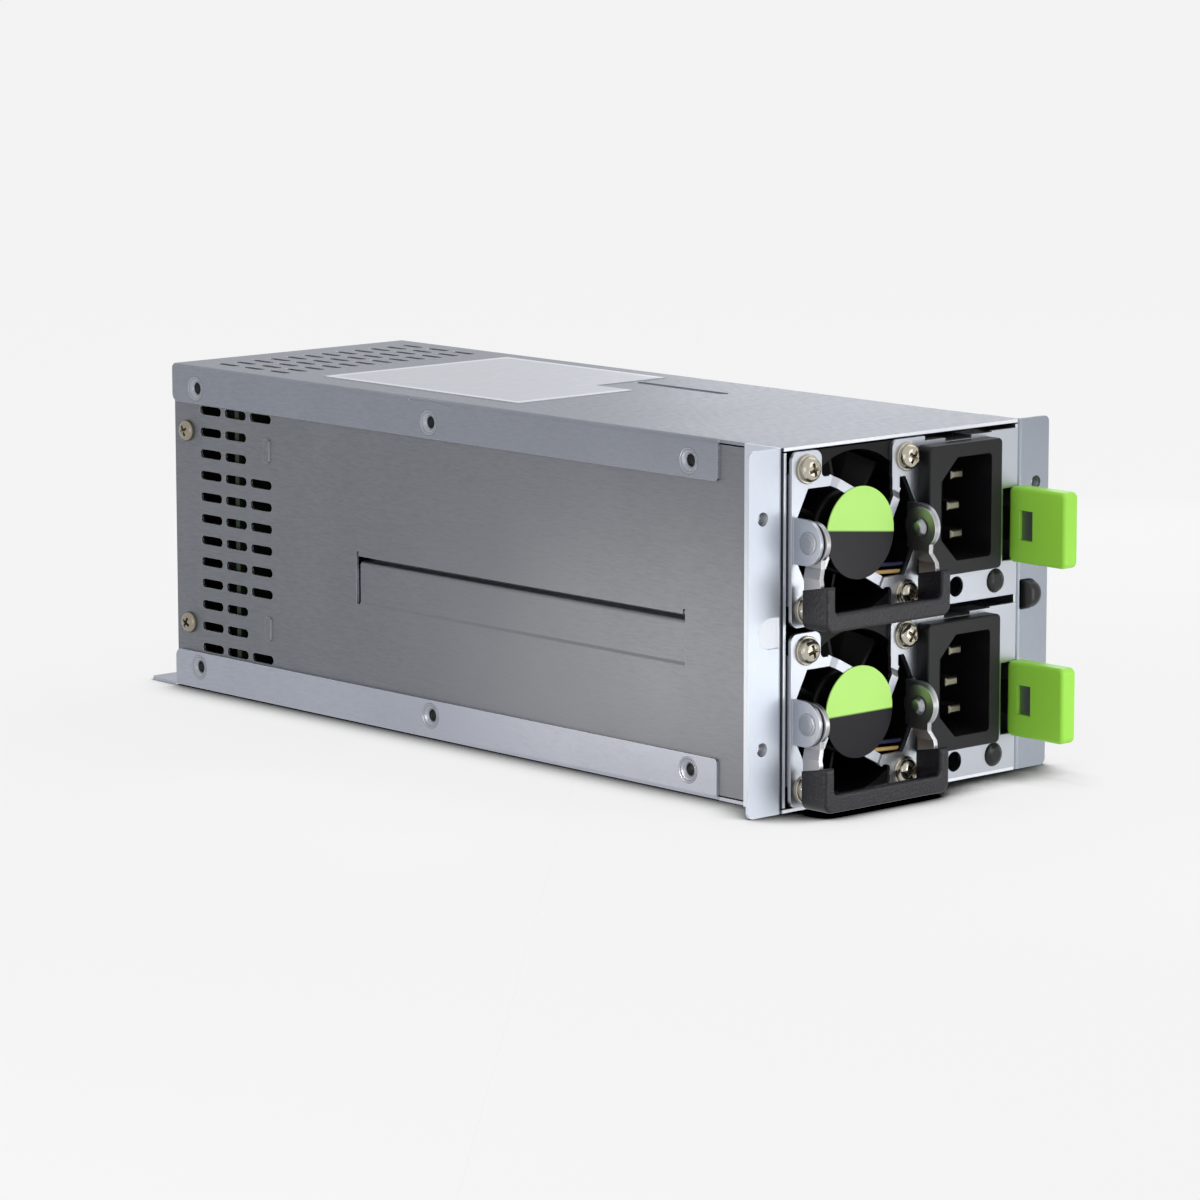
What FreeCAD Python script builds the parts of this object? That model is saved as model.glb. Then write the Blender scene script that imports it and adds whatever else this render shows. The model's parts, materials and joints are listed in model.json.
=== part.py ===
import FreeCAD, Part
import math
import os

# Redundant server power supply: a folded steel cage two rack units high, with two
# stacked modules that slide out to the front.
# Modelling frame: X across, Y back from the mounting flange, Z up from the cage floor.

V = FreeCAD.Vector

# Sheet metal
sheet = 0.8
plate_thickness = 1.0
bend_inside = 0.4
bend_outside = bend_inside + sheet
far = 500.0

# Modules: the 40 mm fan sets the height; the fan, the inlet and the latch side by side set the width
fan_size = 40.0
fan_depth = 28.0
fan_margin = 0.1
inlet_from_fan = 1.1
inlet_width = 24.2
inlet_lip = 1.3
latch_bay = 9.2
module_depth = 186.3
plate_proud = 1.3
case_drop = 1.8
slide_gap = 0.3
side_gap = 0.5
module_width = sheet + fan_size + inlet_from_fan - inlet_lip + inlet_width + latch_bay

# Backplane behind the modules, and the room for cables behind it
socket_gap = 2.5
socket_depth = 12.5
board_thickness = 1.6
cable_bay = 23.4
backplane_y = module_depth - plate_proud + socket_gap + socket_depth

# Cage
cage_depth = backplane_y + board_thickness + cable_bay
lip_front = 21.0
lip_height = 9.7
rear_tab = 11.0
tab_hole_spacing = 56.0
tab_hole_radius = 1.8
ear_reach = 10.0
ear_leg = 12.0
ear_corner = 1.5

module_height = fan_size + 2 * fan_margin
bay_width = module_width + 2 * side_gap
wall_in = bay_width / 2
wall_out = wall_in + sheet
lip_out = wall_out + sheet
ear_out = lip_out + ear_reach
cage_height = 2 * module_height + 4 * slide_gap + 3 * sheet
cage_middle = cage_height / 2
lower_centre = sheet + slide_gap + module_height / 2
upper_centre = cage_height - lower_centre
half_module = module_height / 2
half_width = module_width / 2
inner_half = half_width - sheet
case_floor = -half_module
case_top = half_module - case_drop

# How far cutting tools reach past what they cut
over = 1.0
tiny = 1e-4

# Vents of the cage
vent_length = 8.1
vent_width = 2.3
vent_pitch_y = 10.4
vent_pitch = 5.6
vent_rows = 12
vent_columns = 3
vent_from_rear = 12.8
vent_last_y = cage_depth - vent_from_rear
wall_vent_length = 8.7
wall_vent_pitch_y = 10.2
wall_vent_from_rear = 14.8
wall_vent_last_y = cage_depth - wall_vent_from_rear
lance_gap_rows = (1, 2, 9, 10)
lance_height = 6.0
lance_width = 2.2
lance_from_vent = 2.6
lance_corner = 0.6
lance_rise = 0.4
lance_spacing = 45.6
lip_corner_front = 1.0
lip_corner_rear = 2.0

# Rivets and screws of the cage
rivet_head_radius = 2.5
rivet_radius = 1.6
rivet_bore = 1.0
rivet_tail_radius = 2.2
rivet_tail = 0.5
rivet_from_edge = 5.8
rivet_ends = 9.6
rear_screw_radius = 1.5
rear_screw_head = 2.75
rear_screw_head_height = 1.6
rear_screw_crown = 1.65
rear_screw_shoulder = 0.7
rear_screw_spacing = 50.0
rear_screw_from_rear = 5.2

# Runner panel lanced out of each side wall
panel_front = 32.5
panel_length = 119.5
panel_height = 12.1
panel_top = 42.1
panel_slit = 1.25
panel_clearance = 0.15
panel_recess = side_gap - panel_clearance
panel_bend = 1.1
runner_step = 2.6
runner_width = 4.0
relief_width = 0.9
relief_height = 1.2

# Mounting ears
ear_hole_radius = 1.6
ear_hole_spacing = 52.8
ear_hole_in = 4.3
d_flat_in = 0.5
d_height = 7.2
d_length = 6.5
d_flat_corner = 0.3

# Label, groove and bend relief of the top cover
label_from_left = 8.5
label_from_right = 5.5
label_from_rear = 49.5
label_length = 74.0
label_notch_length = 13.5
label_notch_width = 23.6
label_thickness = 0.2
label_left = label_from_left - wall_in
label_right = wall_in - label_from_right
label_rear = cage_depth - label_from_rear
label_front = label_rear - label_length
groove_x = 21.0
groove_front = 81.0
groove_length = 33.0
groove_width = 3.0
groove_depth = 0.4
relief_length = 14.7
relief_depth = 0.45

# Rear panel
outlet_radius = 12.0
outlet_x = 16.0
outlet_z = 26.0
grommet_bore = 10.0
grommet_lip = 1.6
grommet_side = 2.2
panel_tab = 9.0
rear_vent_columns = 9
rear_vent_rows = 4
rear_vent_pitch_x = 7.0
rear_vent_pitch_z = 10.4
rear_vent_bottom = 46.0

# Sockets, capacitors and output studs of the backplane
socket_wall = 3.0
socket_corner = 1.0
socket_height = 8.0
socket_slot_depth = 10.0
capacitor_radius = 4.0
capacitor_length = 12.0
capacitor_columns = 4
capacitor_pitch = 11.0
stud_radius = 3.0
stud_length = 9.0
stud_columns = 4
stud_pitch = 12.0

# Mute button
button_proud = 2.6
button_round = 2.3
button_gap = 0.3
button_travel = 1.0
button_flange = 0.8
button_lip = 0.5
stem_radius = 1.2
switch_depth = 6.5
switch_half = 4.2

# Fan
fan_hole_from_edge = 4.0
fan_hole_spacing = fan_size - 2 * fan_hole_from_edge
fan_corner = 2.0
fan_screw_radius = 1.6
fan_screw_length = 8.0
screw_washer_radius = 3.4
screw_washer = 0.6
screw_head_radius = 2.9
screw_head = 2.0
screw_shoulder = 1.0
screw_crown = 1.6
duct_wall = 1.0
duct_radius = fan_size / 2 - duct_wall
fan_flange = 4.0
barrel_bulge = 1.5
barrel_radius = fan_size / 2 + barrel_bulge
blade_reach = 8.8
hub_radius = duct_radius - blade_reach
hub_wall = 1.2
hub_front = 3.6
hub_gap = 1.2
stator_in = 0.7
stator_radius = hub_radius - stator_in
stator_thickness = 2.5
strut_width = 2.0
strut_count = 4
tip_gap = 0.6
blade_count = 7
blade_thickness = 0.8
blade_front = 5.0
blade_from_stator = 2.7
blade_sweep = 42.0
blade_bow = 8.0
blade_start = 30.0
blade_steps = 4
bearing_radius = 3.0
shaft_radius = 1.0
shaft_gap = 0.05
fan_bay_gap = 0.3
side_notch_depth = 8.0
side_notch_in = 0.9
side_notch_z = fan_hole_spacing / 2 - side_notch_in

fan_x = -inner_half + fan_size / 2
fan_right = fan_x + fan_size / 2
fan_back = plate_thickness + fan_depth
stator_front = fan_back - stator_thickness
hub_rear = stator_front - hub_gap
blade_rear = stator_front - blade_from_stator

# Swirl guard stamped out of the face plate, about the middle of the fan
pad_in = 4.6
pad_foot_in = 4.5
pad_edge = fan_hole_spacing / 2 - pad_in
pad_foot = fan_hole_spacing / 2 - pad_foot_in
pad_corner = 2.0
arm_root = 1.2
window_shoulder_in = 3.3
window_half = duct_radius
window_shoulder = window_half - window_shoulder_in
window_diagonal_z = 5.3
arm_width = 2.3
arm_bend_x = 8.3
arm_end_x = 2.0
arm_end_z = 9.4
arm_step = 1.6
guard_hub_radius = 9.8
guard_rise = 0.9
hub_label_radius = 10.75
hub_label_thickness = 0.3
arm_offset = pad_foot + arm_width / 2

# Tabs bent back from the top edge of the plate onto the case
roof_tab_starts = (5.8, 21.3)
roof_tab_width = 6.8
roof_tab_depth = 6.0
shoulder_drop = 0.7

# Bail handle
pivot_y = -4.8
tab_centre_y = -3.5
tab_radius = 5.3
tab_thickness = 1.0
tab_inset = 0.5
right_tab_gap = 1.5
tab_root_half = 4.2
eye_radius = 4.8
arm_thickness = 1.2
arm_gap = 0.3
handle_rivet_radius = 1.5
handle_rivet_head = 2.3
handle_rivet_disc = 2.6
handle_rivet_head_height = 1.0
handle_rivet_disc_height = 0.25
handle_rivet_crown = 1.4
handle_rivet_gap = 0.05
eye_front = -7.9
eye_rear = -1.6
eye_drop = 1.5
neck_front = -7.7
neck_rear = -2.7
neck_drop = 5.7
neck_round = 3.0
strap_front = -8.4
strap_rear = -3.1
strap_top = -9.2
strap_round = 1.5
strap_step = 0.9
strap_skin = 0.2
step_top = -5.6
step_bottom = -8.0
strap_bottom = -14.0
grip_front = -10.7
grip_rear = -2.9
grip_leg = 3.0
grip_above_floor = 0.0
grip_bar = 4.3
grip_wall = 1.8
grip_web = 1.4
grip_top_front = -9.5
grip_top_rear = -11.0
grip_edge = 0.7
grip_corner = 2.4
grip_inner_corner = 1.0

# Mains inlet
inlet_height = 30.7
inlet_raise = 2.9
inlet_proud = 4.0
inlet_corner = 1.2
inlet_edge = 0.5
inlet_body_depth = 20.0
recess_width = 16.8
recess_height = 24.2
recess_depth = 16.0
recess_chamfer = 5.3
recess_corner = 1.0
pin_width = 4.0
pin_thickness = 2.0
pin_spacing = 14.0
pin_offset = 2.75
earth_offset = 0.35
pin_tip = 1.6
earth_tip = 0.4
pin_tail = 6.0
cutout_gap = 0.1
grip_relief = 0.4

inlet_left = fan_right + inlet_from_fan - inlet_lip
inlet_x = inlet_left + inlet_width / 2
inlet_bottom = inlet_raise - inlet_height / 2

# Lamp and plain hole below the inlet
lamp_from_floor = 3.9
lamp_from_side = 7.2
lamp_flange = 2.9
lamp_shoulder = 2.6
lamp_crown = 1.7
lamp_radius = 2.4
lamp_proud = 0.9
lamp_length = 6.0
hole_from_inlet = 0.9
hole_radius = 2.4
lamp_x = half_width - lamp_from_side
hole_x = inlet_x + hole_from_inlet

# Latch
latch_drop = 3.2
latch_height = 18.0
latch_notch_height = 17.2
latch_notch_in = 4.9
latch_pivot_y = 40.0
latch_from_wall = 0.2
latch_eye_radius = 1.9
latch_pin_radius = 1.0
latch_pin_gap = 0.05
lever_thickness = 0.6
lever_height = 8.0
lever_tip_y = -12.7
nose_front = 20.0
nose_length = 6.0
nose_gap = 0.3
nose_window_gap = 0.8
cap_front = -17.7
cap_length = 18.0
cap_left = -1.6
cap_right = 0.8
cap_edge = 0.9
cap_corner = 1.5
cap_window_front = -7.4
cap_window_length = 4.2
cap_window_height = 7.1
anchor_half = 6.5
anchor_plate = 1.0

latch_pivot_x = inner_half - latch_from_wall - latch_eye_radius
latch_z = -latch_drop

# Inside each module
board_front = 32.0
board_from_side = 2.5
board_half = half_width - board_from_side
board_raise = 4.0
tongue_half = 18.0
tongue_reach = 8.5
tongue_gap = 0.3
tongue_window_gap = 1.0
post_radius = 2.0
post_from_side = 5.0
post_from_end = 8.0
bulk_radius = 11.0
bulk_round = 1.0
bulk_length = 36.0
bulk_from_edge = 3.5
bulk_from_rear = 57.0
core_width = 28.0
core_depth = 24.0
core_height = 20.0
core_wall = 5.0
core_from_edge = 6.5
core_from_rear = 65.0
coil_swell = 2.5
coil_corner = 3.0
sink_to_core = 6.8
sink_from_front = 20.0
sink_from_edge = 12.5
sink_base = 2.0
sink_fin = 5.0
sink_fin_thickness = 1.0
sink_fins = 4
sink_height = 22.0
bulk_x = bulk_from_edge + bulk_radius - board_half
bulk_y = module_depth - bulk_from_rear
core_x = board_half - core_from_edge - core_width / 2
core_y = module_depth - core_from_rear
sink_x = board_half - sink_from_edge
sink_y = board_front + sink_from_front
sink_length = core_y - coil_swell - sink_to_core - sink_y
rear_slot_count = 7
rear_slot_pitch = 9.0
rear_slot_width = 3.0
rear_slot_height = 14.0
rear_slot_z = 4.0
cover_lip = 5.0

board_bottom = case_floor + sheet + board_raise
board_top = board_bottom + board_thickness

# The whole part is moved so that its origin lies under the middle of its outline
rear_reach = cage_depth + rear_tab
origin_y = (rear_reach + cap_front - plate_proud) / 2


def corner(before, here, after):
    """Start, middle and end of the arc that rounds one corner."""
    radius = here[2] if len(here) > 2 else 0.0
    point = V(here[0], here[1], 0)
    if radius == 0.0:
        return point, point, point
    to_before = (V(before[0], before[1], 0) - point).normalize()
    to_after = (V(after[0], after[1], 0) - point).normalize()
    half = to_before.getAngle(to_after) / 2
    reach = radius / math.tan(half)
    middle_reach = radius / math.sin(half) - radius
    bisector = (to_before + to_after).normalize()
    return point + to_before * reach, point + bisector * middle_reach, point + to_after * reach


def prism(plane, corners, start, end):
    """Solid from a closed outline of (a, b) or (a, b, radius) corners."""
    places = {
        "xz": lambda p: V(p.x, start, p.y),
        "xy": lambda p: V(p.x, p.y, start),
        "yz": lambda p: V(start, p.x, p.y),
    }
    directions = {"xz": V(0, 1, 0), "xy": V(0, 0, 1), "yz": V(1, 0, 0)}
    place = places[plane]
    count = len(corners)
    arcs = [corner(corners[i - 1], corners[i], corners[(i + 1) % count]) for i in range(count)]
    edges = []
    for i in range(count):
        first, middle, last = arcs[i]
        following = arcs[(i + 1) % count][0]
        if first.distanceToPoint(last) > 1e-6:
            edges.append(Part.Arc(place(first), place(middle), place(last)).toShape())
        if last.distanceToPoint(following) > 1e-6:
            edges.append(Part.LineSegment(place(last), place(following)).toShape())
    face = Part.Face(Part.Wire(edges))
    return face.extrude(directions[plane] * (end - start))


def box(x0, x1, y0, y1, z0, z1):
    return Part.makeBox(x1 - x0, y1 - y0, z1 - z0, V(x0, y0, z0))


def rounded(plane, a0, a1, b0, b1, radius, start, end):
    """Rectangle with rounded corners, extruded."""
    corners = [(a0, b0, radius), (a1, b0, radius), (a1, b1, radius), (a0, b1, radius)]
    return prism(plane, corners, start, end)


def rod(axis, a, b, radius, start, end):
    """Cylinder along one axis through (a, b) of the other two, in X, Y, Z order."""
    bases = {"x": V(start, a, b), "y": V(a, start, b), "z": V(a, b, start)}
    directions = {"x": V(1, 0, 0), "y": V(0, 1, 0), "z": V(0, 0, 1)}
    return Part.makeCylinder(radius, end - start, bases[axis], directions[axis])


def turned(points, base, axis, degrees=360):
    """Solid of revolution from (radius, distance) points, along an axis from a base."""
    wire = Part.makePolygon([V(r, 0, h) for r, h in points + points[:1]])
    solid = Part.Face(wire).revolve(V(0, 0, 0), V(0, 0, 1), degrees)
    solid.Placement = FreeCAD.Placement(base, FreeCAD.Rotation(V(0, 0, 1), axis))
    return solid


def fuse(shapes):
    joined = shapes[0].fuse(shapes[1:]) if len(shapes) > 1 else shapes[0]
    return joined.removeSplitter()


def cut(shape, tools):
    return shape.cut(Part.makeCompound(tools))


def mirrored(shape):
    return shape.mirror(V(0, 0, 0), V(1, 0, 0))


def edges_in_plane(shape, y):
    """Edges that lie in the plane at one Y."""
    return [e for e in shape.Edges if abs(e.BoundBox.YMin - y) < tiny and abs(e.BoundBox.YMax - y) < tiny]


def edges_along_y(shape, places):
    """Edges parallel to Y at the given (x, z) places."""
    found = []
    for edge in shape.Edges:
        ends = [vertex.Point for vertex in edge.Vertexes]
        for x, z in places:
            if len(ends) == 2 and all(abs(p.x - x) < tiny and abs(p.z - z) < tiny for p in ends):
                found.append(edge)
    return found


def vent_ys():
    return [vent_last_y - i * vent_pitch_y for i in range(vent_columns)]


def wall_vent_ys():
    return [wall_vent_last_y - i * wall_vent_pitch_y for i in range(vent_columns)]


def vent_offsets():
    return [(i - (vent_rows - 1) / 2) * vent_pitch for i in range(vent_rows)]


def rivet_ys():
    middle = (lip_front + cage_depth) / 2
    return [lip_front + rivet_ends, middle, cage_depth - rivet_ends]


def rivet_zs():
    return [rivet_from_edge, cage_height - rivet_from_edge]


def rear_screw_places():
    y = cage_depth - rear_screw_from_rear
    return [(y, cage_middle - rear_screw_spacing / 2), (y, cage_middle + rear_screw_spacing / 2)]


# Cage

def panel_outline():
    """Section in X and Z of the lanced panel: crease, recessed face, bend, stepped runner."""
    out = wall_out - panel_recess
    inside = out - sheet
    bottom = panel_top - panel_height
    top = panel_top - panel_slit
    ledge = panel_top + slide_gap
    joggle = panel_recess + sheet / 2
    foot = out - runner_step
    return [
        (wall_out, bottom), (out, bottom + joggle), (out, top, panel_bend),
        (foot - sheet, top), (foot - sheet, ledge), (foot - runner_width - sheet, ledge),
        (foot - runner_width - sheet, ledge - sheet), (foot - 2 * sheet, ledge - sheet),
        (foot - 2 * sheet, top - sheet), (inside, top - sheet, panel_bend - sheet),
        (inside, bottom + joggle), (wall_in, bottom),
    ]


def side_wall():
    """Wall drawn on the right, without the windows for the latches."""
    edge = sheet + bend_inside
    wall = box(wall_in, wall_out, 0, cage_depth, edge, cage_height - edge)
    through = (wall_in - sheet, wall_out + sheet)
    tools = []
    for column, y in enumerate(wall_vent_ys()):
        for row, offset in enumerate(vent_offsets()):
            if column == vent_columns - 1 and row in lance_gap_rows:
                continue
            z = cage_middle + offset
            tools.append(rounded("yz", y - wall_vent_length / 2, y + wall_vent_length / 2, z - vent_width / 2,
                                 z + vent_width / 2, vent_width / 2, *through))
    for y in rivet_ys():
        for z in rivet_zs():
            tools.append(rod("x", y, z, rivet_radius, *through))
    for y, z in rear_screw_places():
        tools.append(rod("x", y, z, rear_screw_radius, *through))
    panel_rear = panel_front + panel_length
    tools.append(box(*through, panel_front, panel_rear, panel_top - panel_height, panel_top))
    for y in (panel_front, panel_rear - relief_width):
        tools.append(box(*through, y, y + relief_width, panel_top - panel_slit, panel_top + relief_height))
    wall = cut(wall, tools)
    panel = prism("xz", panel_outline(), panel_front, panel_rear - panel_slit)
    return fuse([wall, panel] + side_lances())


def side_lances():
    """Small embossed strips that replace four vents of the front column."""
    y = wall_vent_ys()[-1] - lance_from_vent
    strips = []
    for side in (-1, 1):
        z = cage_middle + side * lance_spacing / 2
        strips.append(rounded("yz", y - lance_width / 2, y + lance_width / 2, z - lance_height / 2,
                              z + lance_height / 2, lance_corner, wall_out, wall_out + lance_rise))
    return strips


def latch_wall():
    """Right-hand wall, with a window in front of each latch nose."""
    front = nose_front - nose_window_gap - plate_proud
    rear = front + nose_length + 2 * nose_window_gap
    half = lever_height / 2 + nose_window_gap
    windows = []
    for centre in (lower_centre, upper_centre):
        z = centre + latch_z
        windows.append(box(wall_in - sheet, wall_out + sheet, front, rear, z - half, z + half))
    return cut(side_wall(), windows)


def folded_cover(height_corners, floor_z, roof_z):
    """Plate at the top of the section with two lips down, between floor_z and roof_z."""
    section = [
        (-lip_out, floor_z), (-lip_out, roof_z, bend_outside), (lip_out, roof_z, bend_outside),
        (lip_out, floor_z), (wall_out, floor_z), (wall_out, roof_z - sheet, bend_inside),
        (-wall_out, roof_z - sheet, bend_inside), (-wall_out, floor_z),
    ]
    folded = prism("xz", section, lip_front, cage_depth)
    return folded.common(prism("yz", height_corners, -lip_out, lip_out))


def lip_tools(rivet_z):
    """Countersinks for the lip rivets, as cutting tools."""
    tools = []
    for y in rivet_ys():
        for side in (-1, 1):
            cone = [(0, 0), (rivet_head_radius, 0), (rivet_radius, sheet), (0, sheet)]
            tools.append(turned(cone, V(side * lip_out, y, rivet_z), V(-side, 0, 0)))
    return tools


def fold_reliefs(floor_z, roof_z):
    """Shallow flats pressed into both folds beside the middle rivets, as cutting tools."""
    middle = rivet_ys()[1]
    tools = []
    for side in (-1, 1):
        x0, x1 = sorted((side * (lip_out - relief_depth), side * (lip_out + sheet)))
        tools.append(box(x0, x1, middle - relief_length / 2, middle + relief_length / 2, floor_z, roof_z))
    return tools


def top_cover():
    floor_z = cage_height - lip_height
    corners = [(lip_front, floor_z, lip_corner_front), (cage_depth, floor_z, lip_corner_rear),
               (cage_depth, cage_height), (lip_front, cage_height)]
    cover = folded_cover(corners, floor_z, cage_height)
    front = box(-wall_out, wall_out, 0, lip_front, cage_height - sheet, cage_height)
    tools = lip_tools(cage_height - rivet_from_edge)
    for y in vent_ys():
        for x in vent_offsets():
            tools.append(rounded("xy", x - vent_width / 2, x + vent_width / 2, y - vent_length / 2,
                                 y + vent_length / 2, vent_width / 2, cage_height - 2 * sheet,
                                 cage_height + sheet))
    tools.append(rounded("xy", groove_x - groove_width / 2, groove_x + groove_width / 2, groove_front,
                         groove_front + groove_length, groove_width / 2, cage_height - groove_depth,
                         cage_height + sheet))
    tools += fold_reliefs(cage_height - 2 * relief_depth, cage_height + sheet)
    return cut(fuse([cover, front]), tools)


def bottom_plate():
    corners = [(lip_front, 0), (cage_depth, 0), (cage_depth, lip_height, lip_corner_rear),
               (lip_front, lip_height, lip_corner_front)]
    upside_down = folded_cover([(y, cage_height - z, *r) for y, z, *r in corners],
                               cage_height - lip_height, cage_height)
    tray = upside_down.mirror(V(0, 0, cage_middle), V(0, 0, 1))
    front = box(-wall_out, wall_out, 0, lip_front, 0, sheet)
    tab = prism("xy", [(-lip_out, cage_depth), (lip_out, cage_depth), (lip_out, rear_reach, ear_corner),
                       (-lip_out, rear_reach, ear_corner)], 0, sheet)
    tools = lip_tools(rivet_from_edge) + fold_reliefs(-sheet, 2 * relief_depth)
    for side in (-1, 1):
        tools.append(rod("z", side * tab_hole_spacing / 2, cage_depth + rear_tab / 2, tab_hole_radius,
                         -over, sheet + over))
    return cut(fuse([tray, front, tab]), tools)


def rear_panel():
    plate = box(-wall_in, wall_in, cage_depth - sheet, cage_depth, sheet, cage_height - sheet)
    pieces = [plate]
    for side in (-1, 1):
        x0, x1 = sorted((side * wall_in, side * (wall_in - sheet)))
        pieces.append(box(x0, x1, cage_depth - panel_tab, cage_depth - sheet, 2 * lip_height,
                          cage_height - lip_height))
    tools = [rod("y", outlet_x, outlet_z, outlet_radius, cage_depth - 2 * sheet, cage_depth + sheet)]
    for row in range(rear_vent_rows):
        for column in range(rear_vent_columns):
            x = (column - (rear_vent_columns - 1) / 2) * rear_vent_pitch_x
            z = rear_vent_bottom + row * rear_vent_pitch_z
            tools.append(rounded("xz", x - vent_width / 2, x + vent_width / 2, z - vent_length / 2,
                                 z + vent_length / 2, vent_width / 2, cage_depth - 2 * sheet,
                                 cage_depth + sheet))
    for y, z in rear_screw_places():
        tools.append(rod("x", y, z, rear_screw_radius, -wall_out, wall_out))
    return cut(fuse(pieces), tools)


def mounting_ear():
    """Right-hand ear; the left one mirrors it."""
    inner_bend = ear_corner - sheet
    section = [
        (wall_out, 0, ear_corner), (ear_out, 0), (ear_out, sheet), (lip_out, sheet, inner_bend),
        (lip_out, ear_leg), (wall_out, ear_leg),
    ]
    ear = prism("xy", section, 0, cage_height)
    outline = [(wall_out, 0), (ear_out, 0, ear_corner), (ear_out, cage_height, ear_corner),
               (wall_out, cage_height)]
    ear = ear.common(prism("xz", outline, 0, ear_leg))
    tools = [d_shape(0, -sheet, 2 * sheet)]
    for side in (-1, 1):
        z = cage_middle + side * ear_hole_spacing / 2
        tools.append(rod("y", ear_out - ear_hole_in, z, ear_hole_radius, -sheet, 2 * sheet))
    return cut(ear, tools)


def d_shape(gap, start, end):
    """D outline with its flat towards the cage, made smaller by a gap all round."""
    left = lip_out + d_flat_in + gap
    right = lip_out + d_flat_in + d_length - gap
    half = d_height / 2 - gap
    corners = [(left, cage_middle - half, d_flat_corner), (right, cage_middle - half, half),
               (right, cage_middle + half, half), (left, cage_middle + half, d_flat_corner)]
    return prism("xz", corners, start, end)


def cage_rivets():
    """Flush blind rivets through the lips and the side walls."""
    tail_start = 2 * sheet
    outline = [
        (rivet_bore, 0), (rivet_head_radius, 0), (rivet_radius, sheet), (rivet_radius, tail_start),
        (rivet_tail_radius, tail_start), (rivet_tail_radius, tail_start + rivet_tail),
        (rivet_bore, tail_start + rivet_tail),
    ]
    rivets = []
    for side in (-1, 1):
        for y in rivet_ys():
            for z in rivet_zs():
                rivets.append(turned(outline, V(side * lip_out, y, z), V(-side, 0, 0)))
    return Part.makeCompound(rivets)


def rear_panel_screws():
    outline = [
        (0, -rear_screw_head_height), (rear_screw_crown, -rear_screw_head_height),
        (rear_screw_head, -rear_screw_shoulder), (rear_screw_head, 0),
        (rear_screw_radius, 0), (rear_screw_radius, 3 * sheet), (0, 3 * sheet),
    ]
    screws = []
    for side in (-1, 1):
        for y, z in rear_screw_places():
            screws.append(turned(outline, V(side * wall_out, y, z), V(-side, 0, 0)))
    return Part.makeCompound(screws)


def rating_label():
    notch_x = label_right - label_notch_width
    notch_y = label_front + label_notch_length
    corners = [
        (label_left, label_front), (notch_x, label_front), (notch_x, notch_y),
        (label_right, notch_y), (label_right, label_rear), (label_left, label_rear),
    ]
    return prism("xy", corners, cage_height, cage_height + label_thickness)


def backplane_board():
    return box(-(wall_in - slide_gap), wall_in - slide_gap, backplane_y, backplane_y + board_thickness,
               sheet, cage_height - sheet)


def backplane_sockets():
    sockets = []
    front = backplane_y - socket_depth
    side_slot = tongue_half + tongue_gap
    half_slot = board_thickness / 2 + tongue_gap
    half = side_slot + socket_wall
    for centre in (lower_centre, upper_centre):
        z = centre + (board_bottom + board_top) / 2
        body = rounded("xz", -half, half, z - socket_height / 2, z + socket_height / 2, socket_corner,
                       front, backplane_y)
        slot = box(-side_slot, side_slot, front - over, front + socket_slot_depth,
                   z - half_slot, z + half_slot)
        sockets.append(body.cut(slot))
    return Part.makeCompound(sockets)


def backplane_capacitors():
    rear = backplane_y + board_thickness
    cans = []
    for centre in (lower_centre, upper_centre):
        for column in range(capacitor_columns):
            x = (column - (capacitor_columns - 1) / 2) * capacitor_pitch - capacitor_pitch
            z = centre + case_top - 2 * capacitor_radius
            cans.append(rod("y", x, z, capacitor_radius, rear, rear + capacitor_length))
    return Part.makeCompound(cans)


def output_studs():
    rear = backplane_y + board_thickness
    studs = []
    for column in range(stud_columns):
        x = (column - (stud_columns - 1) / 2) * stud_pitch
        hexagon = [(x + stud_radius * math.cos(math.radians(60 * i)),
                    cage_middle + stud_radius * math.sin(math.radians(60 * i))) for i in range(6)]
        studs.append(prism("xz", hexagon, rear, rear + stud_length))
    return Part.makeCompound(studs)


def cable_grommet():
    lip_radius = outlet_radius + grommet_lip
    outline = [
        (grommet_bore, -grommet_side), (lip_radius, -grommet_side), (lip_radius, 0), (outlet_radius, 0),
        (outlet_radius, sheet), (lip_radius, sheet), (lip_radius, sheet + grommet_side / 2),
        (lip_radius - grommet_side / 2, sheet + grommet_side), (grommet_bore, sheet + grommet_side),
    ]
    return turned(outline, V(outlet_x, cage_depth - sheet, outlet_z), V(0, 1, 0))


def button_centre_x():
    return lip_out + d_flat_in + d_length / 2


def mute_button():
    cap = d_shape(button_gap, -button_proud, sheet + button_gap)
    cap = cap.makeFillet(button_round, edges_in_plane(cap, -button_proud))
    flange_start = sheet + button_gap
    flange_end = flange_start + button_flange
    flange = d_shape(-button_lip + button_gap, flange_start, flange_end)
    stem_end = flange_end + button_travel + button_gap + switch_depth / 3
    stem = rod("y", button_centre_x(), cage_middle, stem_radius, flange_end, stem_end)
    return fuse([cap, flange, stem])


def mute_switch_body():
    front = sheet + 2 * button_gap + button_flange + button_travel
    x = button_centre_x()
    body = box(lip_out, x + switch_half, front, front + switch_depth, cage_middle - switch_half,
               cage_middle + switch_half)
    hole_end = front + switch_depth / 3 + button_travel + button_gap
    hole = rod("y", x, cage_middle, stem_radius + button_gap, front - over, hole_end)
    return body.cut(hole)


# Modules, modelled with Z = 0 at their middle and Y = 0 at the front of their face plate

def fan_bay(left):
    """Corner of the case that the fan takes up, from a given left side."""
    return box(left, fan_right + fan_bay_gap, -far, fan_back + fan_bay_gap, -far, far)


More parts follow.
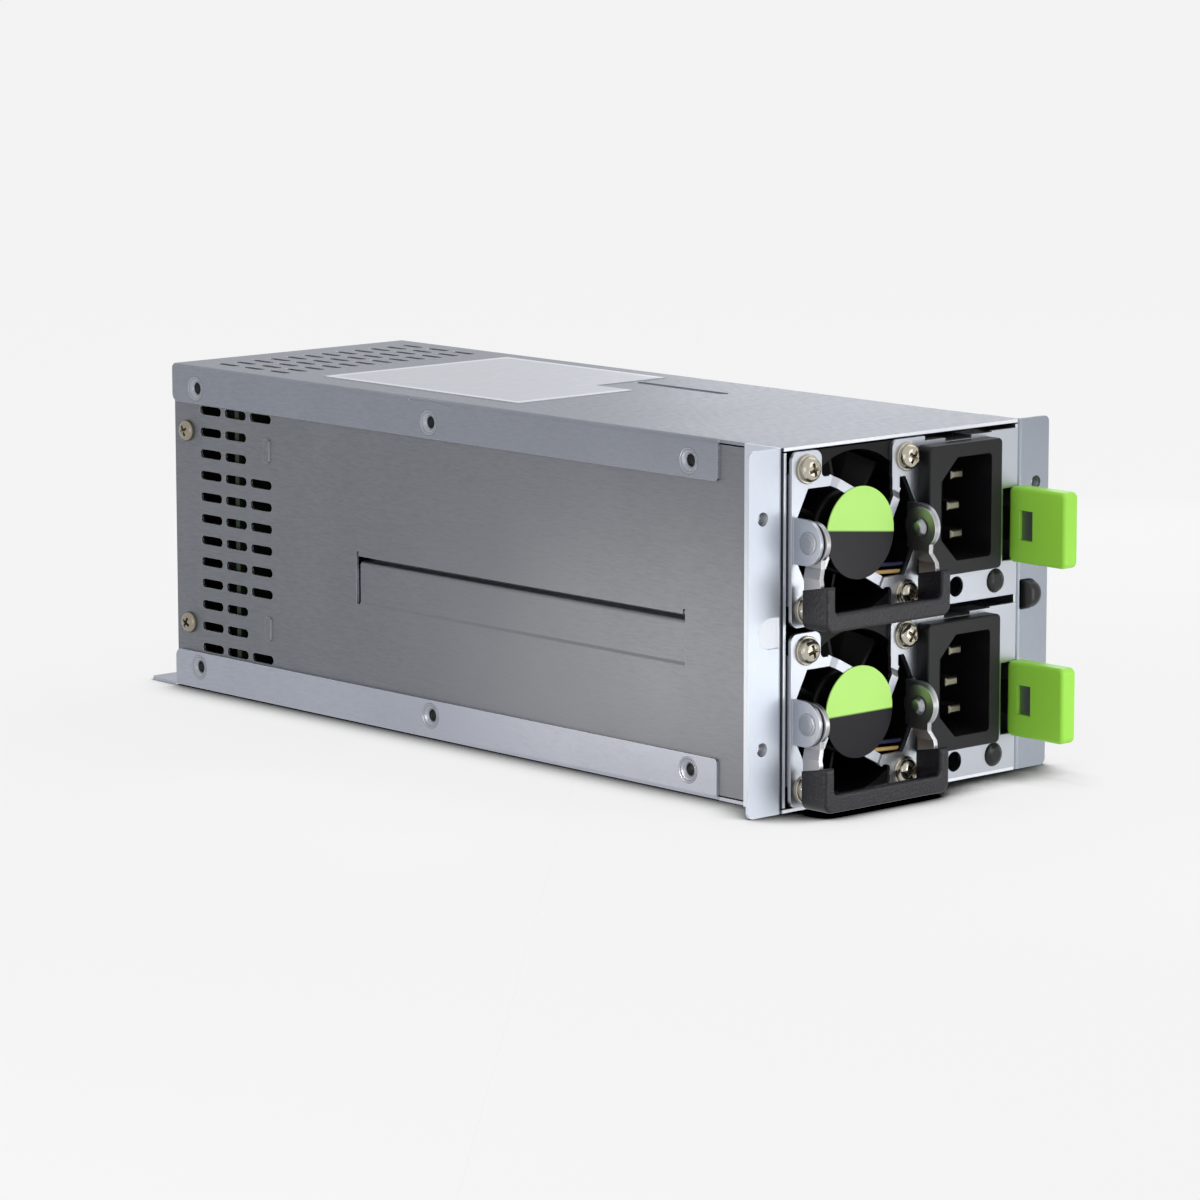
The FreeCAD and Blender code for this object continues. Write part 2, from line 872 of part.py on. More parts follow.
def module_tray():
    outer = box(-half_width, half_width, plate_thickness, module_depth, case_floor, case_top - sheet)
    inner = box(-inner_half, inner_half, -far, module_depth - sheet, case_floor + sheet, far)
    tools = [inner, fan_bay(-inner_half)]
    for z0, z1 in ((-far, -side_notch_z), (side_notch_z, far)):
        tools.append(box(-far, -inner_half, -far, plate_thickness + side_notch_depth, z0, z1))
    window = tongue_half + tongue_window_gap
    tools.append(box(-window, window, module_depth - 2 * sheet, far, board_bottom - tongue_window_gap,
                     board_top + tongue_window_gap))
    for i in range(rear_slot_count):
        x = (i - (rear_slot_count - 1) / 2) * rear_slot_pitch
        tools.append(rounded("xz", x - rear_slot_width / 2, x + rear_slot_width / 2,
                             rear_slot_z - rear_slot_height / 2, rear_slot_z + rear_slot_height / 2,
                             rear_slot_width / 2, module_depth - 2 * sheet, module_depth + sheet))
    half = lever_height / 2 + nose_window_gap
    tools.append(box(inner_half - sheet, far, nose_front - nose_window_gap,
                     nose_front + nose_length + nose_window_gap, latch_z - half, latch_z + half))
    posts = []
    for x in (-board_half + post_from_side, board_half - post_from_side):
        for y in (board_front + post_from_end, module_depth - post_from_end):
            posts.append(rod("z", x, y, post_radius, case_floor + sheet, board_bottom))
    return fuse([cut(outer, tools)] + posts)


def module_cover():
    roof = box(-half_width, half_width, plate_thickness, module_depth, case_top - sheet, case_top)
    pieces = [roof]
    for side in (-1, 1):
        x0, x1 = sorted((side * inner_half, side * (inner_half - sheet)))
        pieces.append(box(x0, x1, board_front, module_depth - 2 * sheet,
                          case_top - cover_lip, case_top - sheet))
    return cut(fuse(pieces), [fan_bay(-far)])


def fan_housing():
    half = fan_size / 2
    front = plate_thickness
    left, right = fan_x - half, fan_x + half
    flanges = [rounded("xz", left, right, -half, half, fan_corner, front, front + fan_flange),
               rounded("xz", left, right, -half, half, fan_corner, fan_back - fan_flange, fan_back)]
    barrel = rod("y", fan_x, 0, barrel_radius, front + fan_flange, fan_back - fan_flange)
    barrel = barrel.common(box(left, right, front, fan_back, -half, half))
    body = fuse(flanges + [barrel])
    tools = [rod("y", fan_x, 0, duct_radius, front - over, fan_back + over)]
    for x, z in fan_corners():
        tools.append(rod("y", x, z, fan_screw_radius, front - over, front + fan_screw_length))
        tools.append(rod("y", x, z, fan_screw_radius, fan_back - fan_flange - over, fan_back + over))
    body = cut(body, tools)
    stator = [rod("y", fan_x, 0, stator_radius, stator_front, fan_back),
              rod("y", fan_x, 0, bearing_radius, hub_front + 3 * hub_wall, stator_front)]
    reach = (duct_radius + barrel_radius) / 2
    for i in range(strut_count):
        strut = box(fan_x, fan_x + reach, stator_front, fan_back, -strut_width / 2, strut_width / 2)
        strut.rotate(V(fan_x, 0, 0), V(0, 1, 0), 360.0 / strut_count * (i + 0.5))
        stator.append(strut)
    shaft_hole = rod("y", fan_x, 0, shaft_radius + shaft_gap, hub_front, hub_rear + hub_gap + shaft_gap)
    return fuse([body] + stator).cut(shaft_hole)


def fan_corners():
    half = fan_hole_spacing / 2
    return [(fan_x + sx * half, sz * half) for sz in (1, -1) for sx in (-1, 1)]


def fan_blade():
    """One blade lofted from the hub to the tip, turned by the sweep from front to rear."""
    tip = duct_radius - tip_gap
    root = hub_radius - hub_wall / 2
    sections = []
    for i in range(blade_steps + 1):
        share = i / blade_steps
        angle = math.radians(blade_sweep * (share - 0.5) + blade_bow * math.sin(math.pi * share))
        y = blade_front + (blade_rear - blade_front) * share
        across = V(math.cos(angle), 0, math.sin(angle))
        side = V(-math.sin(angle), 0, math.cos(angle)) * (blade_thickness / 2)
        centre = V(fan_x, y, 0)
        corners = [centre + across * root - side, centre + across * tip - side,
                   centre + across * tip + side, centre + across * root + side]
        sections.append(Part.makePolygon(corners + corners[:1]))
    return Part.makeLoft(sections, True, True)


def fan_rotor():
    hub = rod("y", fan_x, 0, hub_radius, hub_front, hub_rear)
    hub = hub.makeFillet(hub_wall, edges_in_plane(hub, hub_front))
    shaft = rod("y", fan_x, 0, shaft_radius, hub_front + hub_wall, hub_rear)
    blades = []
    for i in range(blade_count):
        blade = fan_blade()
        blade.rotate(V(fan_x, 0, 0), V(0, 1, 0), blade_start + 360.0 / blade_count * i)
        blades.append(blade)
    bore = rod("y", fan_x, 0, hub_radius - hub_wall, hub_front + 2 * hub_wall, hub_rear + over)
    return fuse([fuse([hub] + blades).cut(bore), shaft])


def fan_screws():
    outline = [
        (0, -screw_washer - screw_head), (screw_crown, -screw_washer - screw_head),
        (screw_head_radius, -screw_washer - screw_shoulder), (screw_head_radius, -screw_washer),
        (screw_washer_radius, -screw_washer), (screw_washer_radius, 0), (fan_screw_radius, 0),
        (fan_screw_radius, fan_screw_length), (0, fan_screw_length),
    ]
    return Part.makeCompound([turned(outline, V(x, 0, z), V(0, 1, 0)) for x, z in fan_corners()])


def guard_arm():
    """One arm at the top left: flat from its pad, then stepped forward and in to the hub."""
    half = arm_width / 2
    flat = box(fan_x - fan_hole_spacing / 2, fan_x - arm_bend_x, 0, plate_thickness,
               arm_offset - half, arm_offset + half)
    run_x = arm_bend_x - arm_end_x
    run_z = arm_offset - arm_end_z
    length = math.hypot(run_x, run_z)
    raised = plate_thickness - guard_rise
    slope = [(-half, 0), (0, 0), (arm_step, -guard_rise), (length, -guard_rise), (length, raised),
             (arm_step, raised), (0, plate_thickness), (-half, plate_thickness)]
    joggle = prism("xy", slope, -half, half)
    joggle.rotate(V(0, 0, 0), V(0, 1, 0), math.degrees(math.atan2(run_z, run_x)))
    joggle.translate(V(fan_x - arm_bend_x, 0, arm_offset))
    elbow = rod("y", fan_x - arm_bend_x, arm_offset, half, 0, plate_thickness)
    return [flat, joggle, elbow]


def swirl_guard():
    pieces = [rod("y", fan_x, 0, guard_hub_radius, -guard_rise, plate_thickness - guard_rise)]
    for i in range(4):
        for piece in guard_arm():
            piece.rotate(V(fan_x, 0, 0), V(0, 1, 0), 90.0 * i)
            pieces.append(piece)
    return pieces


def fan_window():
    """Opening over the fan: eight-sided left and right, open to the edges between the pads."""
    quarter = [(pad_edge, far), (pad_edge, pad_foot), (window_shoulder, pad_foot),
               (window_half, window_diagonal_z)]
    right = quarter + [(x, -z) for x, z in reversed(quarter)]
    left = [(-x, z) for x, z in reversed(right)]
    return prism("xz", [(fan_x + x, z) for x, z in right + left], -over, plate_thickness + over)


def tab_places():
    """X ranges of the two tabs that carry the handle."""
    left = tab_inset - half_width
    right = inlet_left - right_tab_gap
    return [(left, left + tab_thickness), (right - tab_thickness, right)]


def roof_tabs():
    """Tabs at the top of the plate, bent back to lie on the case."""
    return [box(x, x + roof_tab_width, 0, roof_tab_depth, case_top, case_top + sheet)
            for x in roof_tab_starts]


def plate_tools():
    """Window, inlet cut-out, small holes, latch notch and the lowered top edge beside the fan."""
    rear = plate_thickness + over
    half_notch = latch_notch_height / 2
    return [
        fan_window(),
        inlet_block(cutout_gap, -over),
        rod("y", lamp_x, lamp_z(), lamp_radius, -over, rear),
        rod("y", hole_x, lamp_z(), hole_radius, -over, rear),
        box(half_width - latch_notch_in, far, -over, rear, latch_z - half_notch, latch_z + half_notch),
        box(roof_tab_starts[0], roof_tab_starts[-1] + roof_tab_width, -over, rear, case_top, far),
        box(roof_tab_starts[0], far, -over, rear, half_module - shoulder_drop, far),
    ]


def face_plate():
    plate = cut(box(-half_width, half_width, 0, plate_thickness, -half_module, half_module), plate_tools())
    outer = [(-half_width, side * half_module) for side in (-1, 1)]
    inner = [(fan_x + x * pad_edge, z * half_module) for x in (-1, 1) for z in (-1, 1)]
    plate = plate.makeFillet(pad_corner, edges_along_y(plate, outer + inner))
    plate = fuse([plate] + swirl_guard() + roof_tabs())
    top = arm_offset + arm_width / 2
    roots = [(fan_x - pad_edge, top), (fan_x + top, pad_edge),
             (fan_x + pad_edge, -top), (fan_x - top, -pad_edge)]
    plate = plate.makeFillet(arm_root, edges_along_y(plate, roots))
    (left0, left1), (right0, right1) = tab_places()
    pieces = [plate, box(right0, fan_x + window_half + tab_thickness, 0, plate_thickness,
                         -tab_root_half, tab_root_half)]
    for x0, x1 in ((left0, left1), (right0, right1)):
        straight = box(x0, x1, tab_centre_y, plate_thickness, -tab_radius, tab_radius)
        round_end = rod("x", tab_centre_y, 0, tab_radius, x0, x1)
        pieces.append(fuse([straight, round_end.common(box(x0, x1, -far, 0, -far, far))]))
    holes = [rod("x", pivot_y, 0, handle_rivet_radius, -half_width, inlet_left)]
    for x, z in fan_corners():
        holes.append(rod("y", x, z, fan_screw_radius, -over, plate_thickness + over))
    return cut(fuse(pieces), holes)


def hub_label():
    return rod("y", fan_x, 0, hub_label_radius, -guard_rise - hub_label_thickness, -guard_rise)


def arm_places():
    """X ranges of the two handle arms, inside their tabs."""
    (left0, left1), (right0, right1) = tab_places()
    return [(left1 + arm_gap, left1 + arm_gap + arm_thickness),
            (right0 - arm_gap - arm_thickness, right0 - arm_gap)]


def pivot_rivets():
    """Rivet through each tab and arm: a flat disc outside the tab, a domed head inside the arm."""
    rivets = []
    for (tab0, tab1), (arm0, arm1), side in zip(tab_places(), arm_places(), (-1, 1)):
        outside = tab0 if side < 0 else tab1
        inside = arm1 if side < 0 else arm0
        length = abs(inside - outside) + arm_gap
        outline = [
            (0, -handle_rivet_disc_height), (handle_rivet_disc, -handle_rivet_disc_height),
            (handle_rivet_disc, 0), (handle_rivet_radius, 0), (handle_rivet_radius, length),
            (handle_rivet_head, length), (handle_rivet_crown, length + handle_rivet_head_height),
            (0, length + handle_rivet_head_height),
        ]
        rivets.append(turned(outline, V(outside, pivot_y, 0), V(-side, 0, 0)))
    return Part.makeCompound(rivets)


def grip_sides():
    """Left and right side of the grip, which is centred on the fan."""
    left = arm_places()[0][0] - strap_step - strap_skin
    return left, 2 * fan_x - left


def strap_shifts():
    """How far each arm steps outwards below its eye, to run inside a leg of the grip."""
    inside_leg = grip_sides()[1] - grip_leg + strap_skin
    return -strap_step, inside_leg - arm_places()[1][0]


def handle_arm(x0, x1, shift):
    """Steel arm in the Y-Z plane: eye, neck, then a strap that steps sideways into the grip."""
    neck = prism("yz", [
        (eye_front, -eye_drop), (neck_front, -neck_drop, neck_round), (strap_front, strap_top, strap_round),
        (strap_front, strap_bottom), (strap_rear, strap_bottom), (strap_rear, strap_top, strap_round),
        (neck_rear, -neck_drop, neck_round), (eye_rear, -eye_drop),
    ], min(x0, x0 + shift), max(x1, x1 + shift))
    section = [(x0, 0), (x0, step_top), (x0 + shift, step_bottom), (x0 + shift, strap_bottom - over),
               (x1 + shift, strap_bottom - over), (x1 + shift, step_bottom), (x1, step_top), (x1, 0)]
    strap = neck.common(prism("xz", section, -far, far))
    eye = rod("x", pivot_y, 0, eye_radius, x0, x1)
    hole = rod("x", pivot_y, 0, handle_rivet_radius + handle_rivet_gap, x0 - over, x1 + over)
    return fuse([eye, strap]).cut(hole)


def handle_arms():
    return Part.makeCompound([handle_arm(x0, x1, shift)
                              for (x0, x1), shift in zip(arm_places(), strap_shifts())])


def handle_grip():
    """Moulded grip: two legs over the straps, and a bar of a front wall and a floor."""
    left, right = grip_sides()
    bottom = case_floor + grip_above_floor
    side_view = [(grip_rear, bottom), (grip_front, bottom),
                 (grip_front, grip_top_front), (grip_rear, grip_top_rear)]
    front_view = [(left, bottom, grip_corner), (right, bottom, grip_corner), (right, 0), (left, 0)]
    block = prism("yz", side_view, left, right).common(prism("xz", front_view, grip_front, grip_rear))
    bar_top = bottom + grip_bar
    opening = prism("xz", [
        (left + grip_leg, bar_top, grip_inner_corner), (right - grip_leg, bar_top, grip_inner_corner),
        (right - grip_leg, far), (left + grip_leg, far),
    ], -far, far)
    trough = box(left + grip_leg, right - grip_leg, grip_front + grip_wall, far, bottom + grip_web, far)
    relief = box(inlet_left - grip_relief, far, -inlet_proud - grip_relief, far,
                 inlet_bottom - grip_relief, far)
    grip = cut(block, [opening, trough, relief])
    return grip.makeFillet(grip_edge, edges_in_plane(grip, grip_front)).cut(handle_arms())


def inlet_block(gap, start):
    """Body of the inlet behind the plate, made larger by a gap all round."""
    inset = inlet_lip - gap
    half = inlet_height / 2 - inset
    return box(inlet_left + inset, inlet_left + inlet_width - inset, start, inlet_body_depth,
               inlet_raise - half, inlet_raise + half)


def inlet_pins():
    pins = []
    places = [(pin_offset, pin_spacing / 2, pin_tip), (earth_offset, 0, earth_tip),
              (pin_offset, -pin_spacing / 2, pin_tip)]
    for dx, dz, tip in places:
        x = inlet_x + dx
        z = inlet_raise + dz
        pin = box(x - pin_width / 2, x + pin_width / 2, tip, inlet_body_depth + pin_tail,
                  z - pin_thickness / 2, z + pin_thickness / 2)
        pins.append(pin.makeChamfer(pin_thickness / 5, edges_in_plane(pin, tip)))
    return Part.makeCompound(pins)


def inlet_body():
    frame = rounded("xz", inlet_left, inlet_left + inlet_width, inlet_bottom, inlet_bottom + inlet_height,
                    inlet_corner, -inlet_proud, 0)
    frame = frame.makeFillet(inlet_edge, edges_in_plane(frame, -inlet_proud))
    body = fuse([frame, inlet_block(0, 0)])
    left = inlet_x - recess_width / 2
    right = inlet_x + recess_width / 2
    bottom = inlet_raise - recess_height / 2
    top = inlet_raise + recess_height / 2
    corners = [
        (left + recess_chamfer, bottom, recess_corner), (right, bottom, recess_corner),
        (right, top, recess_corner), (left + recess_chamfer, top, recess_corner),
        (left, top - recess_chamfer, recess_corner), (left, bottom + recess_chamfer, recess_corner),
    ]
    recess = prism("xz", corners, -inlet_proud - over, recess_depth - inlet_proud)
    return body.cut(recess).cut(inlet_pins())


def lamp_z():
    return case_floor + lamp_from_floor


def status_lamp():
    outline = [
        (0, -lamp_proud), (lamp_crown, -lamp_proud), (lamp_shoulder, -lamp_proud / 2),
        (lamp_flange, 0), (lamp_radius, 0), (lamp_radius, lamp_length), (0, lamp_length),
    ]
    return turned(outline, V(lamp_x, 0, lamp_z()), V(0, 1, 0))


def latch_anchor():
    """Bracket on the case wall with the upright pin that the lever turns on."""
    rear = latch_pivot_y + latch_eye_radius + slide_gap
    pieces = [box(latch_pivot_x - latch_eye_radius, inner_half, rear, rear + anchor_plate,
                  latch_z - anchor_half, latch_z + anchor_half)]
    eye_half = lever_height / 2 + slide_gap
    for z0, z1 in ((-anchor_half, -eye_half), (eye_half, anchor_half)):
        pieces.append(box(latch_pivot_x - latch_eye_radius, inner_half,
                          latch_pivot_y - latch_eye_radius, rear, latch_z + z0, latch_z + z1))
    pieces.append(rod("z", latch_pivot_x, latch_pivot_y, latch_pin_radius, latch_z - anchor_half,
                      latch_z + anchor_half))
    return fuse(pieces)


def lever_outside():
    return latch_pivot_x + latch_eye_radius


def latch_lever():
    """Flat lever with a rolled eye at its rear, a nose through the case wall and a tip in the cap."""
    half = lever_height / 2
    outside = lever_outside()
    eye = rod("z", latch_pivot_x, latch_pivot_y, latch_eye_radius, latch_z - half, latch_z + half)
    strip = box(outside - lever_thickness, outside, lever_tip_y, latch_pivot_y,
                latch_z - half, latch_z + half)
    nose_tip = wall_in - nose_gap
    nose = prism("xy", [
        (outside - lever_thickness / 2, nose_front), (outside, nose_front), (nose_tip, nose_front),
        (nose_tip, nose_front + nose_length / 3), (outside, nose_front + nose_length),
        (outside - lever_thickness / 2, nose_front + nose_length),
    ], latch_z - half, latch_z + half)
    hole = rod("z", latch_pivot_x, latch_pivot_y, latch_pin_radius + latch_pin_gap,
               latch_z - far, latch_z + far)
    return fuse([eye, strip, nose]).cut(hole)


def latch_cap():
    """Moulded paddle over the lever's tip, with a window that shows the steel."""
    left = lever_outside() + cap_left
    half = latch_height / 2
    cap = rounded("yz", cap_front, cap_front + cap_length, latch_z - half, latch_z + half, cap_corner,
                  left, wall_out + cap_right)
    cap = cap.makeFillet(cap_edge, [e for e in cap.Edges if e.BoundBox.XLength < tiny])
    window = box(left - over, far, cap_window_front, cap_window_front + cap_window_length,
                 latch_z - cap_window_height / 2, latch_z + cap_window_height / 2)
    return cap.cut(window).cut(latch_lever())


def power_board():
    body = box(-board_half, board_half, board_front, module_depth - 2 * sheet, board_bottom, board_top)
    tongue = box(-tongue_half, tongue_half, module_depth - 3 * sheet, module_depth + tongue_reach,
                 board_bottom, board_top)
    return fuse([body, tongue])


def bulk_capacitor():
    can = rod("y", bulk_x, board_top + bulk_radius, bulk_radius, bulk_y, bulk_y + bulk_length)
    return can.makeFillet(bulk_round, edges_in_plane(can, bulk_y) + edges_in_plane(can, bulk_y + bulk_length))


def main_transformer():
    left = core_x - core_width / 2
    core = box(left, left + core_width, core_y, core_y + core_depth, board_top, board_top + core_height)
    windows = [box(left + core_wall, left + core_width - core_wall, core_y - over, core_y + core_depth + over,
                   board_top + core_wall, board_top + core_height - core_wall)]
    coil = rounded("xy", left + core_wall, left + core_width - core_wall, core_y - coil_swell,
                   core_y + core_depth + coil_swell, coil_corner, board_top + core_wall,
                   board_top + core_height - core_wall)
    foot = box(left + core_wall, left + core_width - core_wall, core_y, core_y + core_depth,
               board_top, board_top + core_wall)
    return fuse([cut(core, windows), coil, foot])


def heat_sinks():
    sinks = []
    for side in (-1, 1):
        x = side * sink_x
        pieces = [box(x - sink_base / 2, x + sink_base / 2, sink_y, sink_y + sink_length, board_top,
                      board_top + sink_height)]
        for i in range(sink_fins):
            z = board_top + sink_height - (i + 1) * sink_height / (sink_fins + 1)
            pieces.append(box(x - sink_fin, x + sink_fin, sink_y, sink_y + sink_length,
                              z - sink_fin_thickness / 2, z + sink_fin_thickness / 2))
        sinks.append(fuse(pieces))
    return Part.makeCompound(sinks)


cage_pieces = {
    "cage_left_wall": mirrored(side_wall()),
    "cage_right_wall": latch_wall(),
    "cage_top_cover": top_cover(),
    "cage_bottom_plate": bottom_plate(),
    "cage_rear_panel": rear_panel(),
    "left_mounting_ear": mirrored(mounting_ear()),
    "right_mounting_ear": mounting_ear(),
    "cage_rivets": cage_rivets(),
    "rear_panel_screws": rear_panel_screws(),
    "rating_label": rating_label(),
    "backplane_board": backplane_board(),
    "backplane_sockets": backplane_sockets(),
    "backplane_capacitors": backplane_capacitors(),
    "output_studs": output_studs(),
    "cable_grommet": cable_grommet(),
    "mute_switch_body": mute_switch_body(),
    "mute_button": mute_button(),
}

module_pieces = {
    "module_tray": module_tray(),
    "module_cover": module_cover(),
    "face_plate": face_plate(),
    "fan_housing": fan_housing(),
    "fan_rotor": fan_rotor(),
    "fan_screws": fan_screws(),
    "hub_label": hub_label(),
    "handle_arms": handle_arms(),
    "handle_grip": handle_grip(),
    "pivot_rivets": pivot_rivets(),
    "inlet_body": inlet_body(),
    "inlet_pins": inlet_pins(),
    "status_lamp": status_lamp(),
    "latch_anchor": latch_anchor(),
    "latch_lever": latch_lever(),
    "latch_cap": latch_cap(),
    "power_board": power_board(),
    "bulk_capacitor": bulk_capacitor(),
    "main_transformer": main_transformer(),
    "heat_sinks": heat_sinks(),
}

os.makedirs("parts", exist_ok=True)


def save(name, shape, forward, lift):
    placed = shape.copy()
    placed.translate(V(0, -origin_y - forward, lift))
    placed.exportStep(os.path.join("parts", name + ".step"))


for name, shape in cage_pieces.items():
    save(name, shape, 0, 0)
for level, centre in (("lower", lower_centre), ("upper", upper_centre)):
    for name, shape in module_pieces.items():
        save(level + "_" + name, shape, plate_proud, centre)

print("origin y", origin_y, "module centres", lower_centre, upper_centre, "cage depth", cage_depth)
print("handle pivot y", pivot_y - plate_proud, "fan x", fan_x)
print("inlet", inlet_left, inlet_x, "arms", arm_places())
print("latch pivot", latch_pivot_x, latch_pivot_y - plate_proud, "strap shifts", strap_shifts())
print("ear holes x", ear_out - ear_hole_in, "cage height", cage_height, "lamp x", lamp_x)
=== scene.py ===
# %% [markdown]
# # A redundant server power supply in Blender
# Two power modules slide into one folded steel cage, two rack units tall.
# The shapes come from a CAD model, which is loaded here as a fixed frame.
# This lesson gives every piece its material, adds the small pieces that CAD leaves plain, and lights them.

import json
import math
import bmesh
import bpy
from mathutils import Matrix, Vector


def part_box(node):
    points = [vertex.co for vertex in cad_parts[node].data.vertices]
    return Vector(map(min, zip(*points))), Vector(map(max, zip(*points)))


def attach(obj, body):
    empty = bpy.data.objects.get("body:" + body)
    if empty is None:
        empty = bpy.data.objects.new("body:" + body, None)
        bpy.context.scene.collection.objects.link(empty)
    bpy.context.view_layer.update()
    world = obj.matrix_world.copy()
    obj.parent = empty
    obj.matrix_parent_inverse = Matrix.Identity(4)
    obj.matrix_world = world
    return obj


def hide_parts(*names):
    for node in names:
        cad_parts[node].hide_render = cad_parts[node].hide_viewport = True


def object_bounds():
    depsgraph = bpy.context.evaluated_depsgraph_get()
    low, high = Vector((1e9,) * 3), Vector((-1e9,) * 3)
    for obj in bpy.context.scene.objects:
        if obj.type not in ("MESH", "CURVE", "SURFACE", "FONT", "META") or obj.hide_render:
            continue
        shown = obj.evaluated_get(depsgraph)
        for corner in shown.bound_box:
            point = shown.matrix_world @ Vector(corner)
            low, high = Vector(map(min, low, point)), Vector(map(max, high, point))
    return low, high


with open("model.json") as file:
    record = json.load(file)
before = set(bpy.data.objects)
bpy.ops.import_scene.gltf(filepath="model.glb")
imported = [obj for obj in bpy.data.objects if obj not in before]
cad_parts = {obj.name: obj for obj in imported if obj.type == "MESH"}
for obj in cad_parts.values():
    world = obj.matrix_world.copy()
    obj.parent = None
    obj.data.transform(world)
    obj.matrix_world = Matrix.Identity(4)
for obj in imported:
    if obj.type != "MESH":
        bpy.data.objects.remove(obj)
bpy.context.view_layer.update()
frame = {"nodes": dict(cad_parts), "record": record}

# %% [markdown]
# ## Camera
# The picture was taken with a long lens from the front left, a little above the cage.
# A long lens keeps the far end of the cage nearly as tall as the front.
# The place and the three angles were fitted to known sizes: the 40 mm fans, the inlets and the cage's height.

# %% Camera
lens_mm = 153.491
sensor_mm = 36
camera_place = (-0.835555, -0.9279315, 0.2371918)
yaw, pitch, roll = (math.radians(a) for a in (42.1349, 9.3334, -0.0664))

camera_data = bpy.data.cameras.new("camera")
camera_data.lens = lens_mm
camera_data.sensor_width = sensor_mm
camera_data.clip_start = 0.01
camera = bpy.data.objects.new("camera", camera_data)
bpy.context.scene.collection.objects.link(camera)

forward = Vector((math.sin(yaw) * math.cos(pitch), math.cos(yaw) * math.cos(pitch), -math.sin(pitch)))
level = Vector((math.cos(yaw), -math.sin(yaw), 0))
upright = level.cross(forward)
right = math.cos(roll) * level + math.sin(roll) * upright
up = math.cos(roll) * upright - math.sin(roll) * level
camera.matrix_world = Matrix.Translation(camera_place) @ Matrix((right, up, -forward)).transposed().to_4x4()
bpy.context.scene.camera = camera
print("camera", [round(v, 3) for v in camera.location], "lens", lens_mm)

# %% [markdown]
# ## Colours and nodes
# Colours are written as the sRGB hex values that a paint or plastic chart gives.
# Shaders work in linear light, so one function turns each hex value into linear numbers.
# One more function adds a shader node: it sets the node's options, its constants and its links in one call.
# Three short ones on top of it do sums, lay one range of values onto another, and blend two colours.

# %% Colour and node helpers
mm = 0.001


def linear(hex_colour):
    """Linear RGBA of an sRGB colour such as "#8a8d92"."""
    parts = [int(hex_colour[i:i + 2], 16) / 255 for i in (1, 3, 5)]
    return tuple(c / 12.92 if c <= 0.04045 else ((c + 0.055) / 1.055) ** 2.4 for c in parts) + (1.0,)


def add(tree, kind, inputs=None, **settings):
    """Adds one node. An input is a constant, or another node's output to link."""
    node = tree.nodes.new(kind)
    for name, value in settings.items():
        setattr(node, name, value)
    for name, value in (inputs or {}).items():
        if isinstance(value, bpy.types.NodeSocket):
            tree.links.new(value, node.inputs[name])
        else:
            node.inputs[name].default_value = value
    return node


def calc(tree, operation, *values):
    """Output of a Math node."""
    return add(tree, "ShaderNodeMath", dict(enumerate(values)), operation=operation).outputs[0]


def ranged(tree, value, low, high, to_low=0.0, to_high=1.0, **settings):
    """Output of a Map Range node, which lays low to high onto to_low to to_high."""
    inputs = {"Value": value, "From Min": low, "From Max": high, "To Min": to_low, "To Max": to_high}
    return add(tree, "ShaderNodeMapRange", inputs, **settings).outputs[0]


def blended(tree, share, first, second):
    """Colour between two, each an sRGB hex value or another node's output."""
    ends = [c if isinstance(c, bpy.types.NodeSocket) else linear(c) for c in (first, second)]
    node = add(tree, "ShaderNodeMix", {"Factor": share, "A": ends[0], "B": ends[1]}, data_type="RGBA")
    return node.outputs["Result"]


print("mid grey in linear light", round(linear("#808080")[0], 3))

# %% [markdown]
# ## One start for every material
# Real edges are never sharp: a sheared sheet or a moulded corner has a small radius that catches the light.
# The Bevel node turns the shading normal near each edge by that radius, so no mesh needs changing.
# On top of it a fine noise bumps the surface, with its grain given in millimetres.
# Grain that runs one way, as rolling marks do, is drawn by stretching the noise along that way.
# Where the turned normal leaves the flat one, the same node also finds the edges, and a lighter colour is
# mixed in there as a painted highlight.
# The cut faces themselves are told by their direction, the cage's sheets having been sheared across their
# length, and they get the same painted highlight.

# %% Material helper
materials = {}
bevel_samples = 4
grain_from, grain_to = 0.3, 0.7
patch_from, patch_to = 0.35, 0.65
highlight_start_turn, highlight_full_turn = 0.97, 0.8
cut_highlight_from, cut_highlight_to = 0.9, 0.97


